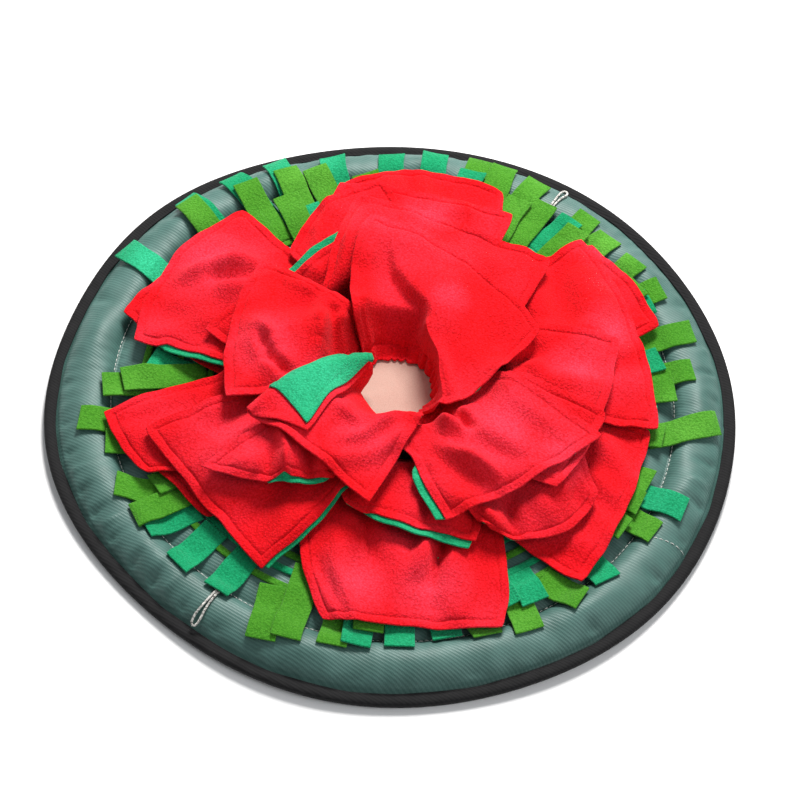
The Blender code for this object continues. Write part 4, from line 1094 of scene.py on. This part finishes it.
def smooth_route(points, step):
    """Points at even steps on a smooth curve through the given ones."""
    points = np.array(points)
    ends = np.vstack([2 * points[0] - points[1], points, 2 * points[-1] - points[-2]])
    fine = []
    for before, start, end, after in zip(ends, ends[1:], ends[2:], ends[3:]):
        for share in np.linspace(0.0, 1.0, 12, endpoint=False):
            fine.append(0.5 * (2 * start + (end - before) * share
                               + (2 * before - 5 * start + 4 * end - after) * share ** 2
                               + (3 * start - before - 3 * end + after) * share ** 3))
    fine = np.array(fine + [points[-1]])
    run = run_of(fine)
    return along_route(fine, run, np.linspace(0.0, run[-1], int(round(run[-1] / step)) + 1))


def build_loop(name, angle, pile):
    """A loop of cord that lies on the rim, with both its ends under the ring of stitching."""
    outward, sideways = polar(angle, 1.0), polar(angle + 90, 1.0)
    out = [outward * point.reach + sideways * LOOP_WIDTH * point.half_width for point in LOOP]
    back = [outward * point.reach - sideways * LOOP_WIDTH * point.half_width for point in reversed(LOOP)]
    route = smooth_route(out + back, LOOP_STEP)
    radius = CORD_DIAMETER / 2
    height = pile.under(route, reach=1) + radius + GAP
    for _ in range(6):
        height[1:-1] = (height[:-2] + 2 * height[1:-1] + height[2:]) / 4
    route[:, 2] = height + 0.0003
    curve = bpy.data.curves.new(name + "_cord", "CURVE")
    curve.dimensions = "3D"
    curve.bevel_depth = radius
    curve.bevel_resolution = 4
    curve.use_fill_caps = True
    spline = curve.splines.new("POLY")
    spline.points.add(len(route) - 1)
    for point, place in zip(spline.points, route):
        point.co = (*place, 1.0)
    curve.materials.append(FINISH["cord"])
    loop = bpy.data.objects.new(name + "_cord", curve)
    bpy.context.scene.collection.objects.link(loop)
    place_piece(loop, "cord", name)
    rows = np.stack([route + (0, 0, radius), route + (0, 0, radius)], axis=0)
    pile.cover(rows, finer=2)


STITCH_LENGTH, STITCH_SPACE, THREAD_RADIUS = 0.0030, 0.0011, 0.00026
THREAD_ARCH, THREAD_SUNK = 2.6, 1.4     # how far a stitch rises from its ends and how deep they lie, in radii
THREAD_SIDES = 6
RimSeam = namedtuple("RimSeam", "name at start end")
RIM_SEAMS = [RimSeam("rim_seam_right", 330, 0.2165, 0.246), RimSeam("rim_seam_left", 151, 0.226, 0.240)]


def stitch_row(places, first):
    """One stitch over a few places: a short thread that dips into the cloth at both ends."""
    forward = places[-1] - places[0]
    forward /= np.linalg.norm(forward)
    side = np.cross((0, 0, 1.0), forward)
    verts, faces = [], []
    last = len(places) - 1
    for step, place in enumerate(places):
        dip = THREAD_RADIUS * (THREAD_ARCH * math.sin(math.pi * (step / last)) ** 0.5 - THREAD_SUNK)
        for corner in range(THREAD_SIDES):
            turn = 2 * math.pi * corner / THREAD_SIDES
            out = side * math.cos(turn) + np.array((0, 0, math.sin(turn)))
            verts.append(place + (0, 0, dip) + THREAD_RADIUS * out)
    for step in range(last):
        for corner in range(THREAD_SIDES):
            here = first + step * THREAD_SIDES + corner
            there = first + step * THREAD_SIDES + (corner + 1) % THREAD_SIDES
            faces.append((here, here + THREAD_SIDES, there + THREAD_SIDES, there))
    faces.append(tuple(first + corner for corner in range(THREAD_SIDES)))
    faces.append(tuple(first + last * THREAD_SIDES + corner for corner in reversed(range(THREAD_SIDES))))
    return verts, faces


def stitch_line(name, route, pile, slot):
    """A running stitch along a plan route, lying on the cover."""
    run = run_of(route)
    verts, faces = [], []
    start = 0.0
    while start + STITCH_LENGTH < run[-1]:
        places = along_route(route, run, start + np.linspace(0.0, STITCH_LENGTH, 5))
        places[:, 2] = pile.under(places, reach=0)
        new_verts, new_faces = stitch_row(places, len(verts))
        verts += new_verts
        faces += new_faces
        start += STITCH_LENGTH + STITCH_SPACE
    stitches = add_mesh(name, verts, faces, FINISH["thread"])
    return place_piece(stitches, slot)


def build_stitching(pile):
    turns = np.linspace(0, 2 * math.pi, 1440)
    stitch_line("ring_stitching", uneven(circle(turns, STITCH_RADIUS, 0.0)), pile, "oxford")
    for seam in RIM_SEAMS:
        length = seam.end - seam.start
        route = np.array([polar(seam.at + 1.5 * math.sin(2.2 * share), seam.start + length * share)
                          for share in np.linspace(0, 1, 24)])
        stitch_line(seam.name, route, pile, "oxford")


# ---------------------------------------------------------------- rings of strips

STRIP_ROWS = 30
STRIP_LINES = np.array([0, 0.03, 0.12, 0.3, 0.5, 0.7, 0.88, 0.97, 1.0])        # grid lines, shares across
STRIP_END_LINES = np.array([2.0, 1.1, 0.4, 0])          # the last ones along it, in mm from its cut end
STRIP_UNEVEN, STRIP_DRIFT, STRIP_SKEW = 0.035, 0.0011, 0.09     # of its width, its sides and its cut end
STRIP_DROOP, STRIP_WAVE = 0.0007, 0.0006


def strip_grid(strip, root_radius, seed):
    """Top face of a strip as it would lie on the flat: cut by hand, so not quite straight or even."""
    root = polar(strip.at + strip.lean, root_radius)
    tip = polar(strip.at, strip.reach * MM)
    length = np.linalg.norm(tip - root)
    along = (tip - root) / length
    sideways = np.array((-along[1], along[0], 0.0))
    even = np.linspace(0, 1 - 3 * MM / length, STRIP_ROWS - len(STRIP_END_LINES))
    v = np.concatenate([even, 1 - STRIP_END_LINES * MM / length])
    across, share = np.meshgrid(STRIP_LINES - 0.5, v)
    run = share * length
    half = STRIP_WIDTH * (1 + STRIP_UNEVEN * wander(run, seed, 0.05))
    drift = STRIP_DRIFT * wander(run, seed + 3, 0.075) * share
    skew = STRIP_SKEW * math.sin(seed * 2.1) * across * STRIP_WIDTH * ease((share - 0.7) / 0.3)
    grid = root + along * (run + skew)[..., None] + sideways * (across * half + drift)[..., None]
    droop = STRIP_DROOP * (across * 2) ** 2 * (0.4 + 0.6 * math.sin(seed * 1.3))
    lift = strip.lift * MM * ease((share - LIFT_START) / (1 - LIFT_START))
    grid[..., 2] = MIDDLE_TOP + GAP + STRIP_THICK + droop + lift
    grid[..., 2] += STRIP_WAVE * wander(run + across * 0.01, seed + 5, 0.045) * share
    return grid


def build_fringe(row, number, pile):
    """One ring of strips and the band that they hang from, joined."""
    inner, outer = row.radius - BAND_WIDTH / 2, row.radius + BAND_WIDTH / 2
    floor = MIDDLE_TOP + GAP
    turns = np.linspace(0, 2 * math.pi, 180, endpoint=False)
    band = np.stack([circle(turns, reach, floor + STRIP_THICK) for reach in np.linspace(inner, outer, 4)])
    band = np.concatenate([band, (band - (0, 0, STRIP_THICK))[::-1]])
    verts = [band.reshape(-1, 3)]
    faces = closed_quads(*band.shape[:2])[:, ::-1].tolist()
    total = len(verts[0])
    area = 2 * math.pi * row.radius * BAND_WIDTH
    ordered = sorted(row.strips, key=lambda strip: strip.reach)
    for place, strip in enumerate(ordered):
        seed = number * 31 + place * 7 + strip.at * 0.37
        grid = strip_grid(strip, outer, seed)
        grid = settle(grid, STRIP_THICK, pile, passes=10, reach=1)
        pile.cover(grid, finer=4)
        normals = normals_of(grid)
        strip_verts, strip_faces = sheet_shell(grid, grid - normals * STRIP_THICK, total, rounding=0.0003)
        verts.append(strip_verts)
        faces += strip_faces
        total += len(strip_verts)
        area += STRIP_WIDTH * (strip.reach * MM - outer)
    fringe = add_mesh(row.name + "_strips", np.concatenate(verts), faces, FINISH[row.cloth])
    place_piece(fringe, row.cloth, row.name)


# ---------------------------------------------------------------- petals

def climb_share(name, u):
    """How much of the usual length a petal's climb takes, at these shares across it."""
    steep = STEEP.get(name, NOT_STEEP)
    return 1 - (1 - steep.share) * ease((u - steep.start) / STEEP_BLEND)


def petal_plan(petal, u, v):
    """Points of a petal's face as it would lie with nothing under it, and its ways across and out."""
    tip_left = polar(petal.left_at, petal.left_reach * MM)
    chord = polar(petal.right_at, petal.right_reach * MM) - tip_left
    sideways = chord / np.linalg.norm(chord)
    outward = np.array((-sideways[1], sideways[0], 0.0))
    turn = np.radians(petal.root_left + (petal.root_right - petal.root_left) * u)
    root = np.stack([np.cos(turn), np.sin(turn), 0 * turn], axis=-1) * petal.root * MM
    tip = tip_left + u[..., None] * chord + outward * (petal.bow * MM * 4 * u * (1 - u))[..., None]
    place = root + (tip - root) * v[..., None]
    place = place + sideways * (petal.side_bow * MM * (2 * u - 1) * 4 * v * (1 - v))[..., None]
    rise = petal.left_rise + (petal.right_rise - petal.left_rise) * u
    fold = petal.fold_rise * bell(u - petal.fold_at, FOLD_SPREAD)
    height = petal.shoulder + (rise - petal.shoulder) * v + fold * np.sin(math.pi * (0.25 + 0.75 * v))
    climbed = ease(v / (WALL * climb_share(petal.name, u)))
    place[..., 2] = ROOT_HEIGHT + (height * MM - ROOT_HEIGHT) * climbed
    return place, sideways, outward


def pull_about(grid, petal, u, v):
    """Shift parts of a laid petal aside, or press them down, as a hand would."""
    for pull in PULLS.get(petal.name, ()):
        near = bell(u - pull.u, pull.spread_u) * bell(v - pull.v, pull.spread_v)
        grid = grid + near[..., None] * np.array((pull.east, pull.north, pull.up)) * MM
    return grid


CUT_REACH = 0.016           # how far in from an edge its unevenness is felt
CUT_SIDE, CUT_END = 0.0007, 0.0008      # how far a side and the tip wander
CORNER_REACH, CORNER_ROUND = 0.007, 0.0006
FLUTTER_REACH, FLUTTER, FLUTTER_LIFT = 0.014, 0.0011, 0.0004


def hand_cut(grid, sideways, outward, v, seed):
    """Make a petal's edges as uneven as scissors and stretched fleece leave them."""
    run_u, run_v, width, length, edge = edge_runs(grid)
    left, right, tip = (bell(run, CUT_REACH) for run in (run_u, width - run_u, length - run_v))
    side = left * wander(run_v, seed, 0.047) - right * wander(run_v, seed + 4, 0.053)
    end = tip * wander(run_u, seed + 8, 0.050)
    grid = grid + sideways * (CUT_SIDE * side)[..., None] + outward * (CUT_END * end)[..., None]
    near_tip = np.clip(1 - (length - run_v) / CORNER_REACH, 0, 1) ** 2
    for edge_run, toward in ((run_u, 1.0), (width - run_u, -1.0)):
        near = np.clip(1 - edge_run / CORNER_REACH, 0, 1) ** 2 * near_tip
        grid = grid + (sideways * toward - outward) * (CORNER_ROUND * near)[..., None]
    flutter = bell(edge, FLUTTER_REACH) * (FLUTTER * wander(run_u + run_v, seed + 13, 0.041) + FLUTTER_LIFT)
    grid[..., 2] += flutter * ease(v / WALL)
    return grid


RIDGE_SHARE = 1.25          # of its height in the table, of a ridge before the cloth is laid
TROUGH_SHARE, BANK_SHARE, BANK_SPREAD = 1.2, 1.28, 2.2      # a trough's own share, and that of its banks
CREASE_END = 0.35           # share of a crease's height that is left at its ends


def crease(grid, creases, corners):
    """Lift the listed ridges of a petal, and the banks of its troughs, which lie on what is below."""
    for fold in creases:
        share, apart = beside(grid, corners(fold.u0, fold.v0)[:2], corners(fold.u1, fold.v1)[:2])
        away = np.linalg.norm(apart, axis=-1)
        fade = CREASE_END + (1 - CREASE_END) * np.sin(math.pi * share) ** 0.7
        profile = RIDGE_SHARE * bell(away, fold.width * MM)
        if fold.height < 0:
            profile = TROUGH_SHARE * profile - BANK_SHARE * bell(away, BANK_SPREAD * fold.width * MM)
        grid[..., 2] += fold.height * MM * profile * fade
    return grid


STEP_START_FADE, STEP_END_FADE = 0.45, 0.18     # shares of a fold's line over which its ends fade


def step_down(grid, folds, corners):
    """Press down one side of each listed fold, steeply at the fold and easing away from it."""
    for fold in folds:
        line = np.array([corners(u, v)[:2] for u, v in fold.line])
        lengths = np.linalg.norm(np.diff(line, axis=0), axis=1)
        starts = run_of(line)
        least, side, along = np.full(grid.shape[:2], 9.0), np.zeros(grid.shape[:2]), np.zeros(grid.shape[:2])
        for place, (start, end) in enumerate(zip(line, line[1:])):
            reach = end - start
            share, apart = beside(grid, start, end)
            away = np.linalg.norm(apart, axis=-1)
            closer = away < least
            least = np.where(closer, away, least)
            side = np.where(closer, reach[0] * apart[..., 1] - reach[1] * apart[..., 0], side)
            along = np.where(closer, starts[place] + share * lengths[place], along)
        width = np.where(side > 0, fold.sharp, fold.wide) * MM
        fade = ease(along / (STEP_START_FADE * starts[-1]))
        fade = fade * ease((starts[-1] - along) / (STEP_END_FADE * starts[-1]))
        grid[..., 2] -= fold.drop * MM * bell(least, width) * fade
    return grid


GATHER_LINES = (*range(11), 10.8, 11.4, 12.0, 12.6, 13.2, 14.5)        # grid lines along a gathered root
FREE_LINES = (0.0, 2.0)     # and along any other
GATHER_CELL = 0.45          # cells of a gathered petal along its length, as a share of the usual ones
GATHER_COLUMNS = 110        # and how many lines it has across, between its sewn edges


def edge_lines(length, start_lines, cell=PETAL_CELL):
    """Shares of a length where grid lines lie: these at its start, and closer together at its sewn end."""
    start = np.array(start_lines) * MM
    end = length - np.array(EDGE_STEPS)[::-1] * MM
    inside = max(int((end[0] - start[-1]) / cell), 4)
    return np.concatenate([start, np.linspace(start[-1], end[0], inside + 1)[1:-1], end]) / length


def sewn_relief(grid):
    """How far a petal's face stands out from its middle layer: stitched groove, puffed margin, pillow."""
    edge = edge_runs(grid)[-1]
    groove = -SEAM_DEPTH * bell(edge - SEAM_INSET, SEAM_SPREAD)
    margin = MARGIN_PUFF * bell(edge - 0.45 * SEAM_INSET, 0.3 * SEAM_INSET)
    pillow = PILLOW * bell(edge - 1.9 * SEAM_INSET, 0.6 * SEAM_INSET)
    return groove + margin + pillow, edge


def face_shares(petal, u, v):
    """Shares of the petal that its face ply covers: it stops short where the back ply shows."""
    bare = BARE.get(petal.name)
    if not bare:
        return u, v
    along = v ** ROW_SPREAD if bare.side in ("left", "right") else u
    begun, left_over = (along - bare.start) / BARE_BLEND, (bare.end - along) / BARE_BLEND
    short = bare.share * ease(begun + 0.5) * ease(left_over + 0.5)
    if bare.side == "left":
        return short + (1 - short) * u, v
    if bare.side == "right":
        return (1 - short) * u, v
    return u, (1 - short) * v


def tuck(surface, u, v, name, seed):
    """Draw a petal's root in round the patch, in uneven gathers under a row of stitching."""
    drawn = TUCKS[name]
    pull = 1.0 - ease(v / (TUCK_SHARE * climb_share(name, u)))
    reach = np.hypot(surface[..., 0], surface[..., 1])
    turn = math.pi * (drawn.gathers * u + 0.45 * wander(u, seed, 0.37))
    gather = 1.0 - np.abs(np.cos(turn)) ** 0.7
    gather = gather * (0.7 + 0.3 * wander(u, seed + 2, 0.21))
    run = run_along(surface, 0)
    fading = 1.0 - ease((run - 0.5 * GATHER_BAND) / (0.8 * GATHER_BAND))
    wanted = reach + (drawn.reach * MM - reach[:1]) * pull + drawn.depth * MM * gather * fading
    surface = surface.copy()
    surface[..., :2] *= (wanted / reach)[..., None]
    surface[..., 2] += (drawn.height * MM - surface[:1, :, 2]) * pull
    return surface


def back_of(petal, surface, normals, cut):
    """The upper and lower side of a petal's back ply, and its place in the petal before it was lowered."""
    side = BARE[petal.name].side if petal.name in BARE else ""
    shorter = (SHORT_LINING.get(petal.name, 1.0) - 1) * (1 - ease((cut.v - 0.55) / 0.2))
    inset = LINING_INSET * (1 + shorter) / cut.width
    root_inset = float(np.interp(LINING_ROOT.get(petal.name, 0.0) * MM / cut.length, cut.run, cut.shares))
    low = inset * (1 - np.clip((cut.face_u - cut.u) / inset, 0, 1)) if side == "left" else inset
    high = 1.0 - (inset * (1 - np.clip((cut.u - cut.face_u) / inset, 0, 1)) if side == "right" else inset)
    bared = np.clip((cut.v - cut.face_v) * cut.length / LINING_INSET, 0, 1) if side == "tip" else 0.0
    far = 1.0 - (LINING_INSET / cut.length) * (1 - bared)
    lining_u, lining_v = low + (high - low) * cut.u, root_inset + (far - root_inset) * cut.v
    top, normal = sample(surface, lining_u, lining_v), sample(normals, lining_u, lining_v)
    relief, edge = sewn_relief(top)
    splay = MARGIN_SPLAY * bell(edge, SPLAY_REACH)
    upper = top - normal * (FLEECE + PLY_GAP + splay)[..., None]
    lower = top - normal * (PETAL_THICK + relief + splay)[..., None]
    if side:
        run_u, run_v, width, length, _ = edge_runs(top)
        bare = {"left": run_u, "right": width - run_u, "tip": length - run_v}[side]
        cut_back = {"left": cut.face_u[:, :1] * cut.width, "right": (1 - cut.face_u[:, -1:]) * cut.width,
                    "tip": (1 - cut.face_v[-1:, :]) * cut.length}[side]
        curl = LINING_CURL * bell(bare, CURL_REACH) * ease(cut_back / CURL_REACH)
        upper = upper + normal * curl[..., None]
        lower = lower + normal * curl[..., None]
    return upper, lower, top


# How a petal is divided for its two plies: its size, the grid lines of the finished plies as shares, the
# shares that the face covers, and how far along the cloth each row of the petal lies.
Cut = namedtuple("Cut", "width length u v face_u face_v run shares")
PETAL_SWELL, PETAL_SWELL_LENGTH = 0.0010, 0.050         # broad unevenness of a petal


def build_petal(petal, seed, pile):
    """The red face and, under it, the green back, sewn together a little inside their raw edges."""
    shares = np.linspace(0.0, 1.0, SHEET_CELLS + 1)
    u, v = np.meshgrid(shares, shares ** ROW_SPREAD)
    grid, sideways, outward = petal_plan(petal, u, v)
    grid = pull_about(grid, petal, u, v)

    def corners(a, b):
        return pull_about(petal_plan(petal, np.array(a), np.array(b))[0], petal, a, b)

    grid = crease(grid, CREASES.get(petal.name, ()), corners)
    grid = step_down(grid, STEPS.get(petal.name, ()), corners)
    grid = hand_cut(grid, sideways, outward, v, seed)
    broad = billow(grid[..., 0], grid[..., 1], seed, PETAL_SWELL_LENGTH)
    grid[..., 2] += PETAL_SWELL * broad * ease((v - 0.1) / 0.3)
    surface = settle(grid, PETAL_THICK, pile)
    gathered = petal.name in TUCKS
    if gathered:
        u, rows = np.meshgrid(np.linspace(0.0, 1.0, 3 * SHEET_CELLS + 1), shares)
        surface = tuck(sample(surface, u, rows), u, rows ** ROW_SPREAD, petal.name, seed)
    normals = soften_ways(normals_of(surface[:, ::3] if gathered else surface), NORMAL_BLUR)

    width = float(run_along(surface, 1)[-1, -1])
    length = float(run_along(surface, 0)[-1].mean())
    across = edge_lines(width, EDGE_STEPS)
    if gathered:
        sewn = len(EDGE_STEPS)
        finer = np.linspace(across[sewn - 1], across[-sewn], GATHER_COLUMNS)
        across = np.unique(np.concatenate([across[:sewn], finer, across[-sewn:]]))
        along = edge_lines(length, GATHER_LINES, GATHER_CELL * PETAL_CELL)
    else:
        along = edge_lines(length, FREE_LINES)
    fine_u, fine_v = np.meshgrid(across, along)
    run = run_along(surface, 0).mean(axis=1) / length
    grid_v = np.interp(fine_v, run, shares)
    cut = Cut(width, length, fine_u, grid_v, *face_shares(petal, fine_u, grid_v), run, shares)

    top, normal = sample(surface, cut.face_u, cut.face_v), sample(normals, cut.face_u, cut.face_v)
    relief, edge = sewn_relief(top)
    if gathered:
        seam = bell(run_along(top, 0) - GATHER_BAND, GATHER_SEAM_SPREAD * SEAM_SPREAD)
        relief = relief - GATHER_SEAM_DEPTH * SEAM_DEPTH * seam
    flare = EDGE_FLARE * bell(edge, FLARE_REACH)
    face_top = top + normal * (relief + flare)[..., None]
    face_bottom = top - normal * (FLEECE - flare)[..., None]
    face = add_sheet(petal.name + "_face", face_top, face_bottom, FINISH["red"])
    place_piece(face, "red", petal.name + "_front")
    back_top, back_bottom, back_middle = back_of(petal, surface, normals, cut)
    back = add_sheet(petal.name + "_lining", back_top, back_bottom, FINISH["jade"])
    place_piece(back, "jade", petal.name + "_back")
    for ply, laid in ((face, face_top), (back, back_middle)):
        flat = (float(run_along(laid, 1)[:, -1].mean()), float(run_along(laid, 0)[-1].mean()))
    pile.cover(face_top)
    pile.cover(back_top)


def backward_of(points, flat_columns):
    """Unit normals of a folded sheet on the side of its back ply: downwards where it lies face up."""
    backward = -unit(np.cross(np.gradient(points, axis=0), np.gradient(points, axis=1)))
    if backward[:, -flat_columns:, 2].mean() > 0:
        backward = -backward
    return soften_ways(backward, 1)


def bend_over(low, high, away):
    """Points of a half round bend from an edge to the turned-over sheet above it."""
    radius = (high[:, 2] - low[:, 2]) / 2
    bends = []
    for turn in np.radians(np.linspace(157.5, 22.5, 7)):
        middle = (low + high) / 2
        middle = middle + away * (radius * math.sin(turn))[:, None]
        middle[:, 2] = low[:, 2] + radius * (1 - math.cos(turn))
        bends.append(middle)
    return np.stack(bends, axis=1)


def add_folded_plies(name, points, flat_columns, lining_share, slots):
    """Face and back ply of a petal whose left side is turned over, from its folded face."""
    backward = backward_of(points, flat_columns)
    run = run_along(points, 1)
    width, length = float(run[len(run) // 2, -1]), float(run_along(points, 0)[-1].mean())
    across, along = edge_lines(width, EDGE_STEPS), edge_lines(length, FREE_LINES)
    even_u = np.linspace(0, 1, points.shape[1])
    mean_share = (run / run[:, -1:]).mean(axis=0)
    run_v = run_along(points, 0).mean(axis=1) / length
    fine_u, fine_v = np.meshgrid(np.interp(across, mean_share, even_u),
                                 np.interp(along, run_v / run_v[-1], np.linspace(0, 1, len(run_v))))
    top, back_way = sample(points, fine_u, fine_v), sample(backward, fine_u, fine_v)
    relief = sewn_relief(top)[0]
    face = add_sheet(name + "_face", top - back_way * relief[..., None], top + back_way * FLEECE,
                     FINISH["red"])
    place_piece(face, "red", slots[0])

    lining_u, lining_v = lining_share(fine_u, fine_v)
    top, back_way = sample(points, lining_u, lining_v), sample(backward, lining_u, lining_v)
    relief = sewn_relief(top)[0]
    lining = add_sheet(name + "_lining", top + back_way * (FLEECE + PLY_GAP),
                       top + back_way * (PETAL_THICK + 0.5 * relief)[..., None], FINISH["jade"])
    place_piece(lining, "jade", slots[1])
    return face, lining, width, length


def build_top_petal(pile):
    """The last petal: its left corner is turned over along a line from its root to its tip edge."""
    root_left, root_right, tip_right, tip_left, turned = (
        polar(corner.at, corner.reach * MM, corner.rise * MM) for corner in TOP_PETAL.values())
    fold_line = tip_left - root_left
    away = np.array((-fold_line[1], fold_line[0], 0.0))
    away *= -np.sign(away @ (tip_right - root_left)) / np.linalg.norm(away)
    root_line = root_right - root_left
    outward = np.array((root_line[1], -root_line[0], 0.0))
    outward *= np.sign(outward @ fold_line) / np.linalg.norm(outward)

    def body(u, v):
        """Points of the body between the fold (u = 0) and its right edge, from its root to its tip."""
        left = root_left + fold_line * v[..., None] + away * (TOP_FOLD_BOW * np.sin(math.pi * v))[..., None]
        right = root_right + (tip_right - root_right) * v[..., None]
        pushed = np.interp(u, *zip(*TOP_PINCH))
        pushed = np.maximum(pushed - TOP_UNDER * (1 - ease(v / 0.09)), 0.0) * (1 - v) ** 2
        return left + (right - left) * u[..., None] + outward * (pushed * MM)[..., None]

    rows = np.linspace(0.0, 1.0, TOP_ROWS) ** TOP_ROW_SPREAD
    flat_u = np.concatenate([[-TOP_BEND_ROOM], np.linspace(0.0, 1.0, TOP_COLUMNS)])
    u, v = np.meshgrid(flat_u, rows)
    flat = body(u, v)
    crown = TOP_FOLD_CROWN * bell(np.maximum(u, 0.0), TOP_CROWN_SPREAD)
    open_height = flat[..., 2] + crown * np.sin(math.pi * v) - ROOT_HEIGHT
    climb = ease((v + 0.03) / 0.11)
    climb = climb + (1 - climb) * ease(1 - np.maximum(u, 0.0) / 0.12)
    flat[..., 2] = ROOT_HEIGHT + open_height * climb
    flat = crease(flat, CREASES["top"], lambda a, b: body(np.array(a), np.array(b)))
    flat[..., 2] += TOP_SWELL * billow(flat[..., 0], flat[..., 1], 91, TOP_SWELL_LENGTH)
    flat = settle(flat, PETAL_THICK, pile)[:, 1:]
    pile.cover(flat)

    share_out = np.where(rows < TOP_PEAK, rows / TOP_PEAK, (1.0 - rows) / (1.0 - TOP_PEAK))
    corner = np.where((rows < TOP_PEAK)[:, None], root_left, tip_left)
    end = corner + (turned - corner) * np.maximum(share_out, TOP_LEAST_TURNED)[:, None]
    start = flat[:, 0] + (0.0, 0.0, 2 * TOP_FOLD_RADIUS)
    out = np.linspace(0.0, 1.0, TOP_TURNED_COLUMNS)
    flap = start[:, None] + (end - start)[:, None] * out[None, :, None]
    flap[..., 2] += TOP_TURNED_PUFF * np.sin(math.pi * out)[None, :] * share_out[:, None]
    flap = settle(flap, 0.0, pile, passes=20, reach=1)
    points = np.concatenate([flap[:, ::-1], bend_over(flat[:, 0], flap[:, 0], away), flat], axis=1)

    fold_share = (flap.shape[1] - 1) / (points.shape[1] - 1)
    flap_width = run_along(flap, 1)[:, -1]

    def lining_share(u, v):
        """The back ply: a margin short of the turned corner's right side, and shorter along the fold."""
        end_v = TOP_PEAK + (TOP_GREEN_END - TOP_PEAK) * np.clip(u / fold_share, 0, 1)
        row_v = np.interp(v * end_v, rows, np.linspace(0, 1, len(rows)))
        row_width = np.interp(v * end_v, rows, flap_width)
        margin = fold_share * np.clip(TOP_RED_MARGIN / np.maximum(row_width, 1e-4), 0.0, 0.9)
        return margin + (0.99 - margin) * u, row_v

    face, lining, width, length = add_folded_plies("top", points, 10, lining_share, ("top_front", "top_back"))
    for ply, wide, long in ((face, 1.0, 1.0), (lining, TOP_BACK_WIDTH, TOP_BACK_LENGTH)):
        flat = (wide * width, long * length)


# ---------------------------------------------------------------- the whole mat

def build_all():
    build_camera()
    pile = Pile()
    build_mat(pile)
    for name, angle in LOOPS.items():
        build_loop(name, angle, pile)
    build_stitching(pile)
    build_tape()
    build_patch(pile)
    for number, row in enumerate(ROWS):
        build_fringe(row, number, pile)
    for number, petal in enumerate(PETALS):
        build_petal(petal, number + 1, pile)
    build_top_petal(pile)
    build_studio()


build_all()
bpy.context.view_layer.update()
